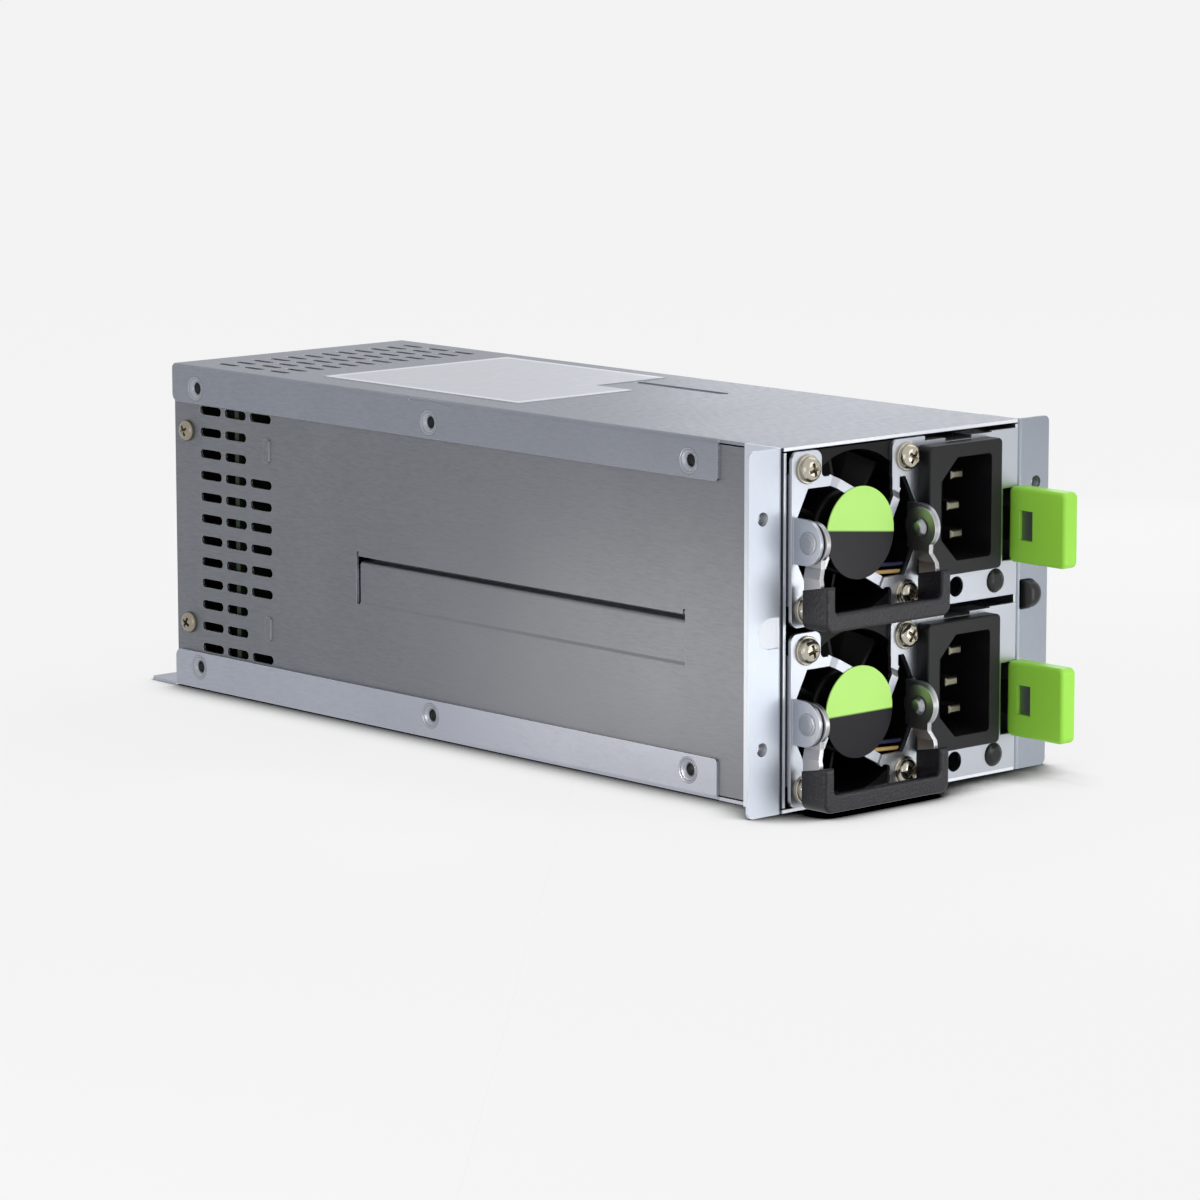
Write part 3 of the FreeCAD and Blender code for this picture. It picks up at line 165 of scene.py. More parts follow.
def new_material(slot, name, colour, roughness, metallic=0.0, edge_mm=0.2, grain_mm=0.4, relief_mm=0.0,
                 stretch=(1, 1, 1), darker=None, patch_mm=None, rough_spread=0.0, edge_highlight=None,
                 highlight_axis=None):
    """Principled material with rounded edges and grain, and patches and painted edge highlights where asked.
    """
    material = bpy.data.materials.new(name)
    material.use_nodes = True
    tree = material.node_tree
    shader = tree.nodes["Principled BSDF"]
    base = shader.inputs["Base Color"]
    base.default_value = linear(colour)
    shader.inputs["Roughness"].default_value = roughness
    shader.inputs["Metallic"].default_value = metallic
    place = add(tree, "ShaderNodeTexCoord").outputs["Object"]
    rounded = add(tree, "ShaderNodeBevel", {"Radius": edge_mm * mm}, samples=bevel_samples).outputs[0]
    grain_scale = [1 / (grain_mm * mm * s) for s in stretch]
    grain_place = add(tree, "ShaderNodeVectorMath", {0: place, 1: grain_scale}, operation="MULTIPLY")
    grain = add(tree, "ShaderNodeTexNoise",
                {"Vector": grain_place.outputs[0], "Scale": 1.0, "Detail": 2.0}).outputs["Fac"]
    bump = add(tree, "ShaderNodeBump", {"Height": grain, "Normal": rounded, "Distance": relief_mm * mm,
                                        "Strength": 1.0 if relief_mm else 0.0})
    tree.links.new(bump.outputs[0], shader.inputs["Normal"])
    if rough_spread:
        rough = ranged(tree, grain, grain_from, grain_to, roughness - rough_spread,
                       roughness + rough_spread)
        tree.links.new(rough, shader.inputs["Roughness"])
    if darker:
        patch_inputs = {"Vector": place, "Scale": 1 / (patch_mm * mm), "Detail": 3.0}
        patches = add(tree, "ShaderNodeTexNoise", patch_inputs).outputs["Fac"]
        tree.links.new(blended(tree, ranged(tree, patches, patch_from, patch_to), colour, darker), base)
    # Painted highlight: a lighter colour mixed in where the edge turns the normal, and on the cut faces.
    if edge_highlight:
        flat = add(tree, "ShaderNodeNewGeometry").outputs["Normal"]
        turned_by = add(tree, "ShaderNodeVectorMath", {0: rounded, 1: flat}, operation="DOT_PRODUCT")
        share = ranged(tree, turned_by.outputs["Value"], highlight_start_turn, highlight_full_turn)
        if highlight_axis:
            normal = add(tree, "ShaderNodeTexCoord").outputs["Normal"]
            facing = add(tree, "ShaderNodeSeparateXYZ", {"Vector": normal}).outputs[highlight_axis]
            lit_cut_face = ranged(tree, calc(tree, "ABSOLUTE", facing), cut_highlight_from, cut_highlight_to)
            share = calc(tree, "MAXIMUM", share, lit_cut_face)
        under = base.links[0].from_socket if base.is_linked else colour
        tree.links.new(blended(tree, share, under, edge_highlight), base)
    materials[slot] = material
    return material


# %% [markdown]
# ## Zinc-plated sheet steel
# The cage, the module cases and the face plates are cold-rolled steel with a thin layer of zinc.
# Zinc gives a cool, slightly blue grey with blurred reflections.
# Rolling leaves fine lines along the sheet.
# The lines of real sheet are about 0.1 mm apart: they are drawn at 0.35 mm, so that they show in the picture.
# The same zinc is given a different tone on each face, as lit and shaded copies of one material: darker on
# the walls, lighter on the cover, and lighter still on the bottom plate, ears and face plates, with a darker
# copy again for the right ear. These tones are painted light and shade.

# %% Zinc-plated steel
rolled_along_y = (1, 8, 1)
rolled_along_z = (1, 1, 8)
zinc = {"metallic": 1.0, "edge_mm": 0.12, "grain_mm": 0.35, "relief_mm": 0.002}

# The edge colours given to the sheets below are painted highlights along their edges and cut faces.
new_material("zinc_wall", "rolled_zinc_plated_steel", "#7c7f85", 0.5, stretch=rolled_along_y,
             darker="#797c82", patch_mm=35, rough_spread=0.09, edge_highlight="#d6d9de", highlight_axis="Y", **zinc)
new_material("zinc_plate", "stamped_zinc_plated_steel", "#bcc0c8", 0.36, stretch=rolled_along_z,
             darker="#b7bbc3", patch_mm=15, rough_spread=0.04, edge_highlight="#eef0f3", **zinc)
lit_bottom_zinc = new_material("zinc_cover", "lit_copy_zinc_plated_steel", "#aaaeb9", 0.46,
                           stretch=rolled_along_y, darker="#a6aab5", patch_mm=40, rough_spread=0.09,
                           edge_highlight="#e4e7ec", highlight_axis="Y", **zinc)
new_material("zinc_cover", "cover_zinc_plated_steel", "#8e929c", 0.46, stretch=rolled_along_y,
             darker="#8a8e98", patch_mm=40, rough_spread=0.09, edge_highlight="#e4e7ec", highlight_axis="Y", **zinc)
shaded_ear_zinc = new_material("zinc_ear", "shaded_ear_zinc_plated_steel", "#9da3ad", 0.5, stretch=rolled_along_z,
                        darker="#999fa9", patch_mm=25, rough_spread=0.04, edge_highlight="#eef0f3", **zinc)
new_material("zinc_ear", "lit_ear_zinc_plated_steel", "#c8ced8", 0.5, stretch=rolled_along_z,
             darker="#c2c8d2", patch_mm=25, rough_spread=0.04, edge_highlight="#eef0f3", **zinc)
print("sheet steels", [m.name for m in materials.values()])

# %% [markdown]
# ## Small metal pieces
# Screws are nickel plated, which is a little warmer and smoother than zinc.
# Rivets and the latch springs are plated steel, the handle's arms are stamped spring steel.
# The handle turns on rivets whose flat heads are crowned at the rim, so these get a wider rounded edge with a
# painted highlight on it, and the handle's arms get a painted highlight along their edges.
# The heat sinks are extruded aluminium, whose die leaves lines along them, and the output studs are brass.

# %% Screws, rivets, springs and sinks
# The rear screws get a darker copy of the nickel.
dark_nickel = new_material("nickel_screw", "darker_nickel_plated_steel", "#948d7e", 0.25, 1.0,
                           edge_mm=0.15, grain_mm=0.5, relief_mm=0.002)
new_material("nickel_screw", "nickel_plated_steel", "#b9b3a5", 0.17, 1.0, edge_mm=0.15, grain_mm=0.5,
             relief_mm=0.002)
highlighted_pivot_head = new_material("rivet_steel", "highlighted_rivet_steel", "#a4a7ad", 0.28, 1.0, edge_mm=0.8,
                          grain_mm=0.5, relief_mm=0.002, edge_highlight="#f4f5f6")
new_material("rivet_steel", "plated_rivet_steel", "#a1a5ad", 0.36, 1.0, edge_mm=0.25, grain_mm=0.5,
             relief_mm=0.002)
new_material("mandrel_steel", "phosphated_steel", "#2b2c2e", 0.5, 1.0, edge_mm=0.2, grain_mm=0.3,
             relief_mm=0.01)
new_material("handle_steel", "stamped_spring_steel", "#aaa9ac", 0.36, 1.0, edge_mm=0.25, grain_mm=0.3,
             relief_mm=0.003, stretch=rolled_along_z, edge_highlight="#efefef")
new_material("latch_steel", "spring_steel", "#8e9096", 0.38, 1.0, edge_mm=0.2, grain_mm=0.3,
             relief_mm=0.002)
new_material("pin_nickel", "nickel_plated_brass", "#8f897d", 0.3, 1.0, edge_mm=0.3, grain_mm=0.4,
             relief_mm=0.001)
new_material("stud_brass", "turned_brass", "#c9a45c", 0.3, 1.0, edge_mm=0.2, grain_mm=0.2, relief_mm=0.002)
new_material("sink_aluminium", "extruded_aluminium", "#b9bbbf", 0.4, 1.0, edge_mm=0.15, grain_mm=0.3,
             relief_mm=0.003, stretch=rolled_along_y)
print("metals so far", len(materials))

# %% [markdown]
# ## Moulded plastics
# Black flame-retardant plastic is used for the fan, the inlet and the sockets.
# Its glass fibre makes it satin.
# The grip is moulded in a spark-eroded tool, so it has a coarse leathery grain of about 0.5 mm.
# The paddle of the latch is bright green, the sign that it may be pulled while the supply is on.
# Plastics keep an IOR near 1.5 and take their look from roughness and grain.
# The fine pores of the textured ones swallow part of the gloss, which a lower specular level stands for.

# %% Plastics
new_material("grip_plastic", "spark_textured_nylon", "#101018", 0.38, edge_mm=0.5, grain_mm=0.6,
             relief_mm=0.16)
new_material("inlet_plastic", "satin_black_pbt", "#141417", 0.38, edge_mm=0.3, grain_mm=0.25, relief_mm=0.006)
new_material("fan_black", "glass_filled_pbt", "#0b0b0d", 0.42, edge_mm=0.25, grain_mm=0.3, relief_mm=0.008)
new_material("black_plastic", "black_nylon", "#222226", 0.45, edge_mm=0.2, grain_mm=0.3, relief_mm=0.006)
new_material("button_black", "smooth_black_abs", "#0d0d10", 0.3, edge_mm=0.9, grain_mm=0.5)
new_material("latch_green", "green_polypropylene", "#9cdf48", 0.4, edge_mm=0.3, grain_mm=0.3, relief_mm=0.006)
new_material("lamp_lens", "smoked_acrylic", "#15161a", 0.2, edge_mm=0.8)
new_material("grommet_rubber", "moulded_rubber", "#1e1e20", 0.7, edge_mm=0.4, grain_mm=0.4, relief_mm=0.02)
new_material("capacitor_sleeve", "pvc_shrink_sleeve", "#26262e", 0.3, edge_mm=0.4)
new_material("core_ferrite", "ferrite_and_tape", "#3a3a3d", 0.6, edge_mm=0.3, grain_mm=0.5, relief_mm=0.02)
new_material("circuit_board", "green_solder_mask", "#0d2815", 0.5, edge_mm=0.1, darker="#0a2010",
             patch_mm=6)
new_material("label_foil", "matt_silver_foil", "#c2c5cc", 0.5, 0.8, edge_mm=0.1, grain_mm=0.6,
             relief_mm=0.004, stretch=(8, 1, 1), rough_spread=0.12)
plastic_ior = 1.53
gloss_of = {"grip_plastic": 0.35, "inlet_plastic": 0.25, "fan_black": 0.15, "button_black": 0.35,
            "lamp_lens": 0.35, "circuit_board": 0.3, "latch_green": 0.35}
for slot_name, gloss in gloss_of.items():
    shader = materials[slot_name].node_tree.nodes["Principled BSDF"]
    shader.inputs["IOR"].default_value = plastic_ior
    shader.inputs["Specular IOR Level"].default_value = gloss
print("materials", len(materials))

# %% [markdown]
# ## Rating label
# The label is a matt silver foil, die cut with a clear border round its print, which is left out here.
# Generated coordinates find that border from the label's own edges.

# %% Rating label
border = 0.03
tree = materials["label_foil"].node_tree
generated = add(tree, "ShaderNodeTexCoord").outputs["Generated"]
across = add(tree, "ShaderNodeSeparateXYZ", {"Vector": generated})
off_centre = [calc(tree, "ABSOLUTE", calc(tree, "SUBTRACT", across.outputs[axis], 0.5)) for axis in "XY"]
on_border = calc(tree, "GREATER_THAN", calc(tree, "MAXIMUM", *off_centre), 0.5 - border)
foil_colour = blended(tree, on_border, "#c2c5cc", "#d9dce2")
tree.links.new(foil_colour, tree.nodes["Principled BSDF"].inputs["Base Color"])
print("label border", border, "of its width")

# %% [markdown]
# ## Printed film on the fan's hub
# A round film sticker covers the hub: light green above, dark grey below, with no lettering here.
# Two colours on one disc could be two meshes, or one material that splits by height.
# Generated coordinates run from 0 to 1 over each disc, so the material fits a disc of any size.
# The upper film was stuck on a little askew and its parting line is tilted, so each has its own copy.

# %% Hub label
green_above = {"lower_hub_label": 0.487, "upper_hub_label": 0.517}
print_edge = 0.01
film_colours = ("#0e0d14", "#b8ee7a")
film_gloss = 0.24
film_fall = {"lower_hub_label": 0.0, "upper_hub_label": 0.104}
films = {}
for label, fall in film_fall.items():
    films[label] = new_material("hub_label", "printed_polyester_film_" + label[:5], film_colours[1], 0.32,
                                edge_mm=0.1)
    tree = films[label].node_tree
    generated = add(tree, "ShaderNodeTexCoord").outputs["Generated"]
    across = add(tree, "ShaderNodeSeparateXYZ", {"Vector": generated})
    height = calc(tree, "MULTIPLY_ADD", across.outputs["X"], fall, across.outputs["Z"])
    parting = green_above[label] + fall / 2
    share = ranged(tree, height, parting - print_edge, parting + print_edge)
    shader = tree.nodes["Principled BSDF"]
    tree.links.new(blended(tree, share, *film_colours), shader.inputs["Base Color"])
    shader.inputs["Specular IOR Level"].default_value = film_gloss
print("hub films", [f.name for f in films.values()])

# %% [markdown]
# ## Dress the CAD nodes
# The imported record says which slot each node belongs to, so a loop gives every node its material.

# %% Give each node its material
slot_of = {part["node"]: part["material_slot"] for part in frame["record"]["subparts"]}
# The bottom plate and the module trays take the lit copy of the zinc, a painted light, and the right ear
# takes the shaded copy, a painted shade.
own_coat = {"cage_bottom_plate": lit_bottom_zinc, "lower_module_tray": lit_bottom_zinc,
            "upper_module_tray": lit_bottom_zinc, "right_mounting_ear": shaded_ear_zinc,
            "lower_pivot_rivets": highlighted_pivot_head, "upper_pivot_rivets": highlighted_pivot_head, **films}
for name, node in frame["nodes"].items():
    node.data.materials.clear()
    node.data.materials.append(own_coat.get(name, materials[slot_of[name]]))
print("dressed", len(slot_of), "nodes")

# %% [markdown]
# ## Screws with a cross recess
# Each fan is held by four pan-head screws with a washer pressed on, the rear panel by four smaller ones.
# A turned profile gives the head, and a plus-shaped wedge cut into it gives the recess for the driver.
# The cut is a Boolean, made once: every other screw is a copy of the finished mesh.

# %% Turned profiles and the cross-shaped cutter
turn_steps = 48
cutter_ahead = 0.5
wide_end, narrow_end = 1.15, 0.5


def turned(profile):
    """Mesh turned about the Y axis from (radius, y) points in mm: ends on the axis, or a closed ring."""
    shape = bmesh.new()
    points = [shape.verts.new((r * mm, y * mm, 0)) for r, y in profile]
    line = [shape.edges.new(pair) for pair in zip(points, points[1:])]
    bmesh.ops.spin(shape, geom=points + line, cent=(0, 0, 0), axis=(0, 1, 0), angle=2 * math.pi,
                   steps=turn_steps)
    bmesh.ops.remove_doubles(shape, verts=shape.verts, dist=0.001 * mm)
    bmesh.ops.recalc_face_normals(shape, faces=shape.faces)
    mesh = bpy.data.meshes.new("turned")
    shape.to_mesh(mesh)
    shape.free()
    return mesh


def cross_cutter(span, width, depth, front):
    """Plus-shaped wedge in millimetres: full size just in front of the head, narrower at its depth."""
    half, arm = width / 2, span / 2
    plus = [(arm, -half), (arm, half), (half, half), (half, arm), (-half, arm), (-half, half),
            (-arm, half), (-arm, -half), (-half, -half), (-half, -arm), (half, -arm), (half, -half)]
    shape = bmesh.new()
    rings = [[shape.verts.new((x * size * mm, y * mm, z * size * mm)) for x, z in plus]
             for size, y in ((wide_end, front - cutter_ahead), (narrow_end, front + depth))]
    for i in range(len(plus)):
        j = (i + 1) % len(plus)
        shape.faces.new((rings[0][i], rings[0][j], rings[1][j], rings[1][i]))
    shape.faces.new(rings[0])
    shape.faces.new(rings[1])
    bmesh.ops.recalc_face_normals(shape, faces=shape.faces)
    mesh = bpy.data.meshes.new("cross")
    shape.to_mesh(mesh)
    shape.free()
    return mesh


def cut_mesh(body, cutter):
    """Mesh of body with cutter taken away."""
    objects = [bpy.data.objects.new(name, mesh) for name, mesh in (("body", body), ("cutter", cutter))]
    for thing in objects:
        bpy.context.scene.collection.objects.link(thing)
    modifier = objects[0].modifiers.new("recess", "BOOLEAN")
    modifier.object = objects[1]
    modifier.operation = "DIFFERENCE"
    modifier.solver = "EXACT"
    bpy.context.view_layer.update()
    result = bpy.data.meshes.new_from_object(objects[0].evaluated_get(bpy.context.evaluated_depsgraph_get()))
    for thing in objects:
        bpy.data.objects.remove(thing)
    return result


print("turned pieces have", turn_steps, "sides")

# %% One fan screw
washer_radius, washer = 3.4, 0.6
head_radius, head = 2.9, 2.0
shank_radius, shank = 1.6, 8.0
pan_head = [(0, -washer - head), (1.3, -washer - head), (2.1, -washer - 0.9 * head),
            (2.6, -washer - 0.65 * head), (head_radius, -washer - 0.3 * head), (head_radius, -washer),
            (washer_radius - 0.15, -washer), (washer_radius, -washer + 0.15), (washer_radius, 0),
            (shank_radius, 0), (shank_radius, shank), (0, shank)]
fan_cross = cross_cutter(span=3.4, width=0.85, depth=1.5, front=-washer - head)
fan_screw = cut_mesh(turned(pan_head), fan_cross)
print("fan screw faces", len(fan_screw.polygons))

# %% [markdown]
# Copies of one mesh are placed at the four corners of the node that they stand for.
# They are joined into one object.
# The places come from the node's own box, set in by the radius of the screw's widest part.

# %% Place the screws
smooth_angle = math.radians(35)


def joined(name, mesh, matrices, slot, body, coat=None):
    """One object of copies of a mesh that rides on a body, with its slot's material or a coat of its own."""
    shape = bmesh.new()
    for matrix in matrices:
        copy = mesh.copy()
        copy.transform(matrix)
        shape.from_mesh(copy)
        bpy.data.meshes.remove(copy)
    result = bpy.data.meshes.new(name)
    shape.to_mesh(result)
    shape.free()
    result.materials.clear()
    result.materials.append(coat or materials[slot])
    piece = bpy.data.objects.new(name, result)
    bpy.context.scene.collection.objects.link(piece)
    result.shade_smooth()
    result.set_sharp_from_angle(angle=smooth_angle)
    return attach(piece, body)


for floor_name in ("lower", "upper"):
    node = floor_name + "_fan_screws"
    low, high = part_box(node)
    seat_y = low.y + (washer + head) * mm
    inset = washer_radius * mm
    places = [Matrix.Translation((x, seat_y, z)) @ Matrix.Rotation(math.radians(turn), 4, "Y")
              for x, z, turn in ((low.x + inset, low.z + inset, 20), (high.x - inset, low.z + inset, 55),
                                 (low.x + inset, high.z - inset, 75), (high.x - inset, high.z - inset, 35))]
    screws = joined(floor_name + "_cross_screws", fan_screw, places, "nickel_screw", floor_name + "_module")
    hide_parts(node)
print("screws placed at y", round(seat_y, 4))

# %% [markdown]
# The rear panel is held by two smaller screws at each side, with the same kind of recess and no washer.
# Their heads face out to the left and right, so each copy is turned about the upright axis.

# %% Rear screws
outwards = {side: Matrix.Rotation(math.radians(90 * side), 4, "Z") for side in (-1, 1)}
small_radius, small_head = 2.75, 1.6
small_shank_radius, small_shank = 1.5, 2.4
small_pan = [(0, -small_head), (1.2, -small_head), (2.0, -0.88 * small_head), (2.5, -0.6 * small_head),
             (small_radius, -0.3 * small_head), (small_radius, 0), (small_shank_radius, 0),
             (small_shank_radius, small_shank), (0, small_shank)]
rear_screw = cut_mesh(turned(small_pan), cross_cutter(span=3.2, width=0.8, depth=1.1, front=-small_head))
low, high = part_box("rear_panel_screws")
places = [Matrix.Translation((side * (high.x - small_head * mm), (low.y + high.y) / 2, z))
          @ outwards[side] @ Matrix.Rotation(math.radians(turn), 4, "Y")
          for side in (-1, 1)
          for z, turn in ((low.z + small_radius * mm, 30), (high.z - small_radius * mm, 65))]
rear_screws = joined("rear_cross_screws", rear_screw, places, "nickel_screw", "cage", dark_nickel)
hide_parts("rear_panel_screws")
print("rear screws", len(places))

# %% [markdown]
# ## Blind rivets
# The folded lips are held by countersunk rivets, each a smooth dish with the dark stub of its mandrel inside.
# The dish catches a crescent of light at its lower edge, so the profile is turned with that curve.
# Around it the lip is pushed up a little by the pressing tool, which the low outer ring stands for.

# %% Rivets of the cage
rivet_radius, rivet_shank, rivet_tail = 2.5, 1.6, 2.2
rim_radius, rim_rise = 3.2, 0.1
rivet_bore, rivet_end = 1.35, 2.1
stub_radius, stub_top, stub_end = 1.3, 0.75, 1.7
sheet_mm = 0.8
rivet_profile = [(rivet_bore, rivet_end), (rivet_bore, 0.85), (1.5, 0.6), (1.9, 0.3), (2.3, 0.06),
                 (rivet_radius, 0), (rim_radius - 0.2, -rim_rise), (rim_radius, 0.01), (rivet_radius, 0.02),
                 (rivet_shank, sheet_mm), (rivet_shank, 2 * sheet_mm), (rivet_tail, 2 * sheet_mm),
                 (rivet_tail - 0.3, rivet_end), (rivet_bore, rivet_end)]
stub_profile = [(0, stub_top), (0.6, stub_top + 0.05), (stub_radius, stub_top + 0.35),
                (stub_radius, stub_end), (0, stub_end)]
low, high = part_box("cage_rivets")
inset = rivet_radius * mm
rivet_ys = (low.y + inset, (low.y + high.y) / 2, high.y - inset)
places = [Matrix.Translation((side * high.x, y, z)) @ outwards[side]
          for side in (-1, 1) for y in rivet_ys for z in (low.z + inset, high.z - inset)]
rivets = joined("dished_rivets", turned(rivet_profile), places, "rivet_steel", "cage")
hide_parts("cage_rivets")
joined("rivet_mandrels", turned(stub_profile), places, "mandrel_steel", "cage")
print("rivets", len(places))

# %% [markdown]
# ## Tapped holes of the ears
# A hole for a thread in thin sheet is drawn through, which leaves a collar behind it with the thread inside.
# The thread is turned as rings here, since its rise can't be seen at this size.

# %% Thread collars
collar_radius, thread_radius, thread_depth, thread_pitch = 2.4, 1.6, 0.2, 0.5
threads = 4
collar = [(thread_radius, 0), (collar_radius, 0), (collar_radius - 0.2, threads * thread_pitch),
          (thread_radius, threads * thread_pitch)]
for i in range(threads, 0, -1):
    collar += [(thread_radius - thread_depth, (i - 0.5) * thread_pitch),
               (thread_radius, (i - 1) * thread_pitch)]
ear_hole_in, ear_hole_spacing = 4.3, 52.8
places = []
for side, ear in ((-1, "left_mounting_ear"), (1, "right_mounting_ear")):
    low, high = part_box(ear)
    outer = high.x if side > 0 else low.x
    for step in (-1, 1):
        places.append(Matrix.Translation((outer - side * ear_hole_in * mm, low.y + sheet_mm * mm,
                                          (low.z + high.z) / 2 + step * ear_hole_spacing / 2 * mm)))
# The collars take the darker latch steel instead of the ear's zinc, a painted shade inside the tapped holes.
joined("thread_collars", turned(collar), places, "latch_steel", "cage")
print("collars at x", [round(p.translation.x, 4) for p in places])

# %% [markdown]
# ## Fan wires
# Two thin wires leave each fan's hub and run over the lower right arm of the guard into the fan's frame.
# Each is a short tube along a smooth curve, kept in front of the blades.

# %% Wires
wire_radius_mm = 0.5
wire_y = -107.8


def tube(name, points, radius_mm):
    """Mesh of a round tube through points given in millimetres."""
    curve = bpy.data.curves.new(name, "CURVE")
    curve.dimensions = "3D"
    curve.bevel_depth = radius_mm * mm
    curve.bevel_resolution = 4
    spline = curve.splines.new("NURBS")
    spline.points.add(len(points) - 1)
    for point, place in zip(spline.points, points):
        point.co = (*(c * mm for c in place), 1)
    spline.use_endpoint_u = True
    spline.order_u = 3
    holder = bpy.data.objects.new(name, curve)
    bpy.context.scene.collection.objects.link(holder)
    bpy.context.view_layer.update()
    mesh = bpy.data.meshes.new_from_object(holder.evaluated_get(bpy.context.evaluated_depsgraph_get()))
    bpy.data.objects.remove(holder)
    return mesh


for slot_name, colour in (("wire_yellow", "#c9a86a"), ("wire_blue", "#2a2c4e")):
    new_material(slot_name, slot_name + "_pvc", colour, 0.35, edge_mm=0.1)
for floor_name in ("lower", "upper"):
    low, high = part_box(floor_name + "_hub_label")
    x, z = (low.x + high.x) / 2 / mm, (low.z + high.z) / 2 / mm
    for slot_name, lift, reach in (("wire_yellow", 0.0, 16.0), ("wire_blue", 1.7, 16.9)):
        line = [(x + along, wire_y, z + lift - fall)
                for along, fall in ((5.5, 10.2), (8.5, 10.5), (12.5, 10.7), (reach, 10.9))]
        wire = tube(slot_name, line, wire_radius_mm)
        joined(floor_name + "_fan_" + slot_name, wire, [Matrix()], slot_name, floor_name + "_module")
print("fan wires at y", wire_y)

# %% [markdown]
# ## Insulating film
# Black polyester film lines the rear panel beside the cable outlet, so that no output stud can touch it.
# It is also what keeps the rear bay dark in the picture.

# %% Film
film_thickness = 0.3
film_gap, film_side, film_ends, film_to_outlet = 0.2, 1.2, 3, 1
new_material("insulating_film", "black_polyester_film", "#101012", 0.4, edge_mm=0.1)
low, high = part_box("cage_rear_panel")
outlet_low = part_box("cable_grommet")[0]
film_rear = high.y - (sheet_mm + film_gap) * mm
corner_low = Vector((low.x + film_side * mm, film_rear - film_thickness * mm, low.z + film_ends * mm))
corner_high = Vector((outlet_low.x - film_to_outlet * mm, film_rear, high.z - film_ends * mm))
shape = bmesh.new()
bmesh.ops.create_cube(shape, size=1)
sizes = corner_high - corner_low
bmesh.ops.transform(shape, verts=shape.verts,
                    matrix=Matrix.Translation((corner_low + corner_high) / 2) @ Matrix.Diagonal((*sizes, 1)))
film_mesh = bpy.data.meshes.new("film")
shape.to_mesh(film_mesh)
shape.free()
joined("insulating_film", film_mesh, [Matrix()], "insulating_film", "cage")
print("film", [round(v, 4) for v in sizes])

# %% [markdown]
# ## Backdrop and floor
# The supply stands on white paper that runs on behind it.
# The paper has to look nearly white and still take a soft shadow.
# Its diffuse colour does the shading, and a little emission, which only the camera, mirrors and clear
# materials see, lifts it to the pale tone without lighting the supply.
# The emission fades where the supply closes off the sky, which keeps the dark line of contact below the cage.

# %% Floor
paper_side = 30.0
paper_gap_mm = 0.05
shade_grey, bounce_grey = 0.12, 0.8
contact_reach_mm = 14
closed_sky, open_sky = 0.42, 0.97
contact_glow, open_glow, mirrored_glow = -0.05, 0.79, 0.85
paper = bpy.data.materials.new("white_paper")
paper.use_nodes = True
tree = paper.node_tree
tree.nodes.clear()


def seen_directly(tree):
    """1 where a ray comes from the camera, a reflection or a clear material."""
    path = add(tree, "ShaderNodeLightPath").outputs
    first = calc(tree, "MAXIMUM", path["Is Camera Ray"], path["Is Glossy Ray"])
    return calc(tree, "MAXIMUM", first, path["Is Transmission Ray"])


shaded = add(tree, "ShaderNodeBsdfDiffuse", {"Color": (shade_grey, shade_grey, shade_grey, 1)})
sky = add(tree, "ShaderNodeAmbientOcclusion", {"Distance": contact_reach_mm * mm}, samples=8)
fade = ranged(tree, sky.outputs["AO"], closed_sky, open_sky, contact_glow, open_glow,
              interpolation_type="SMOOTHSTEP")
from_camera = add(tree, "ShaderNodeLightPath").outputs["Is Camera Ray"]
lift = add(tree, "ShaderNodeMix", {"Factor": from_camera, "A": mirrored_glow, "B": fade})
lifted = add(tree, "ShaderNodeEmission", {"Color": (1, 1, 1, 1), "Strength": lift.outputs["Result"]})
seen = add(tree, "ShaderNodeAddShader", {0: shaded.outputs[0], 1: lifted.outputs[0]})
bounced = add(tree, "ShaderNodeBsdfDiffuse", {"Color": (bounce_grey, bounce_grey, bounce_grey, 1)})
mixed = add(tree, "ShaderNodeMixShader", {0: seen_directly(tree), 1: bounced.outputs[0], 2: seen.outputs[0]})
add(tree, "ShaderNodeOutputMaterial", {"Surface": mixed.outputs[0]})

paper_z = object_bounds()[0][2] - paper_gap_mm * mm
bpy.ops.mesh.primitive_plane_add(size=paper_side, location=(0, 0, paper_z))
floor = bpy.context.object
floor.name = "paper_floor"
floor.data.materials.append(paper)
print("floor side", paper_side)

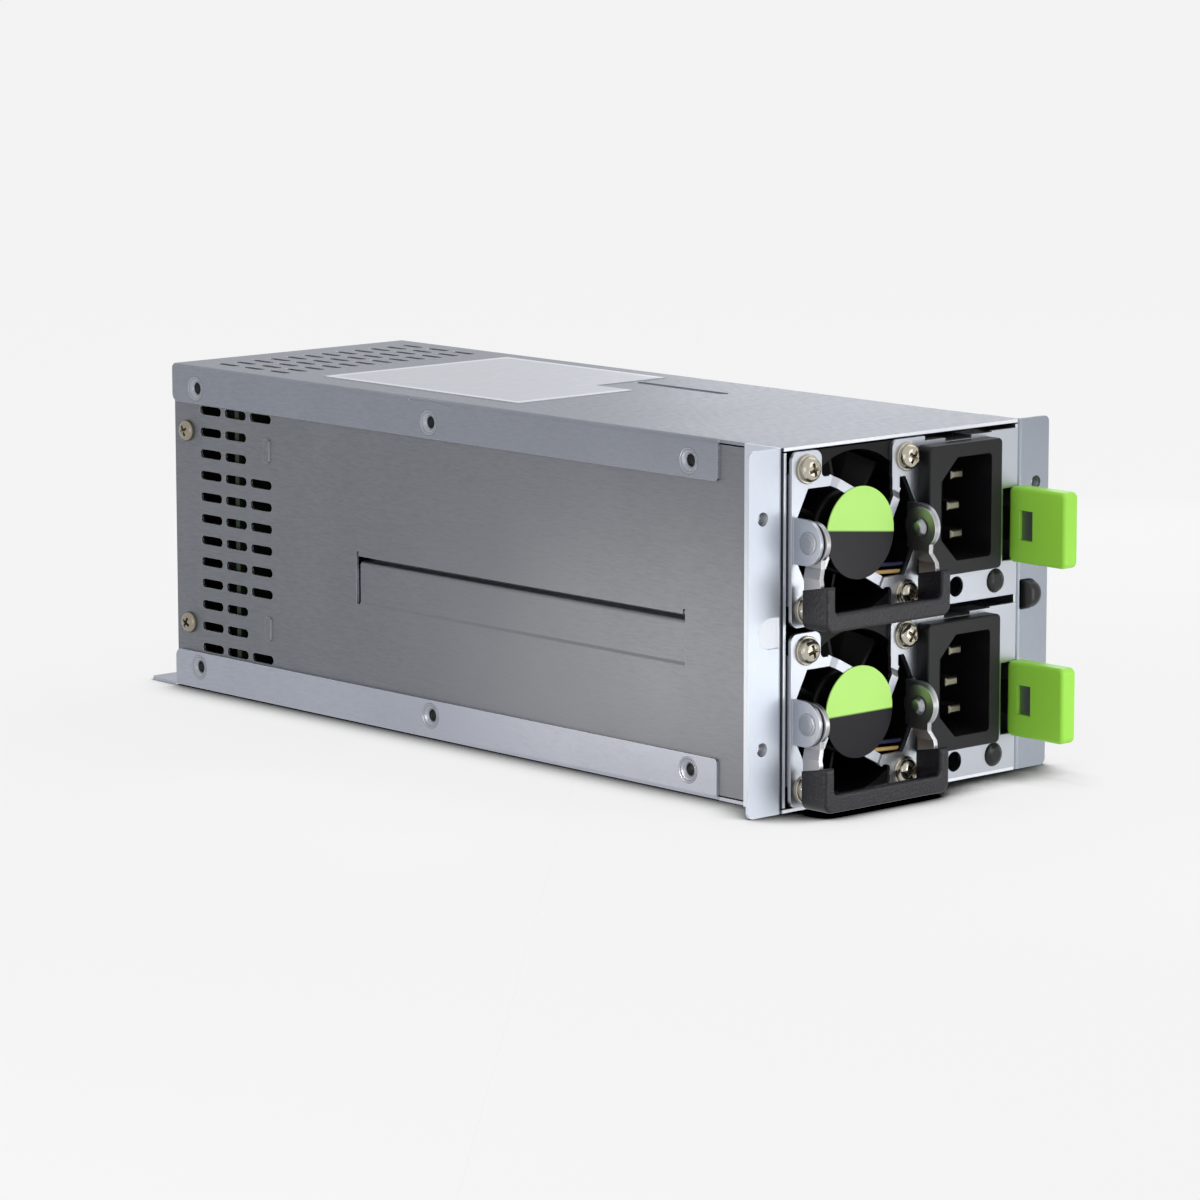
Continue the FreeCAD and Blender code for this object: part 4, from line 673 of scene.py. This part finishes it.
# %% [markdown]
# ## Light
# The world gives an even light from all round, like a white tent.
# Two wide softboxes help it, one high on the right and one in front, and a small one fills in from the left.
# Plated sheet is half a mirror, so each face also gets a small softbox where it mirrors the camera's view:
# low on the left for the wall, in front for the ears and face plates, behind on the right for the cover.

# %% World
tent_strength, backdrop_strength = 0.85, 1.0
world = bpy.data.worlds.new("white_tent")
bpy.context.scene.world = world
world.use_nodes = True
tree = world.node_tree
tree.nodes.clear()
tent = add(tree, "ShaderNodeBackground", {"Color": (1, 1, 1, 1), "Strength": tent_strength})
backdrop = add(tree, "ShaderNodeBackground", {"Color": linear("#f3f3f3"), "Strength": backdrop_strength})
mixed = add(tree, "ShaderNodeMixShader", {0: seen_directly(tree), 1: tent.outputs[0], 2: backdrop.outputs[0]})
add(tree, "ShaderNodeOutputWorld", {"Surface": mixed.outputs[0]})
bpy.context.scene.view_settings.view_transform = "Standard"
print("world", world.name)

# %% Softboxes
target = Vector((0, 0, 0.04))


def softbox(name, place, size, watts, tint="#ffffff", aim=target, spread=180):
    """Area lamp of a width and height that looks at a point and isn't seen itself."""
    data = bpy.data.lights.new(name, "AREA")
    data.shape = "RECTANGLE"
    data.size, data.size_y = size
    data.energy = watts
    data.spread = math.radians(spread)
    data.color = linear(tint)[:3]
    lamp = bpy.data.objects.new(name, data)
    bpy.context.scene.collection.objects.link(lamp)
    lamp.visible_camera = False
    lamp.location = place
    lamp.rotation_euler = (aim - lamp.location).to_track_quat("-Z", "Y").to_euler()
    return lamp


softbox("top_softbox", (0.5, 0.1, 0.6), (0.5, 0.5), 0.6)
softbox("front_softbox", (0.4, -1.3, 0.6), (0.8, 0.8), 2.6)
softbox("left_softbox", (-0.45, -0.25, 0.1), (0.3, 0.3), 0.2)
softbox("wall_softbox", (-0.17, -0.03, 0.02), (0.12, 0.02), 0.016, "#fff6ea",
        Vector((-0.04, -0.06, 0.02)), 60)
softbox("ear_softbox", (0.05, -0.3, 0.025), (0.16, 0.04), 0.018, "#ffffff",
        Vector((-0.045, -0.11, 0.01)), 60)
softbox("cover_softbox", (0.35, 0.2, 0.16), (0.2, 0.2), 0.14, "#ffffff", Vector((0.01, -0.09, 0.084)))
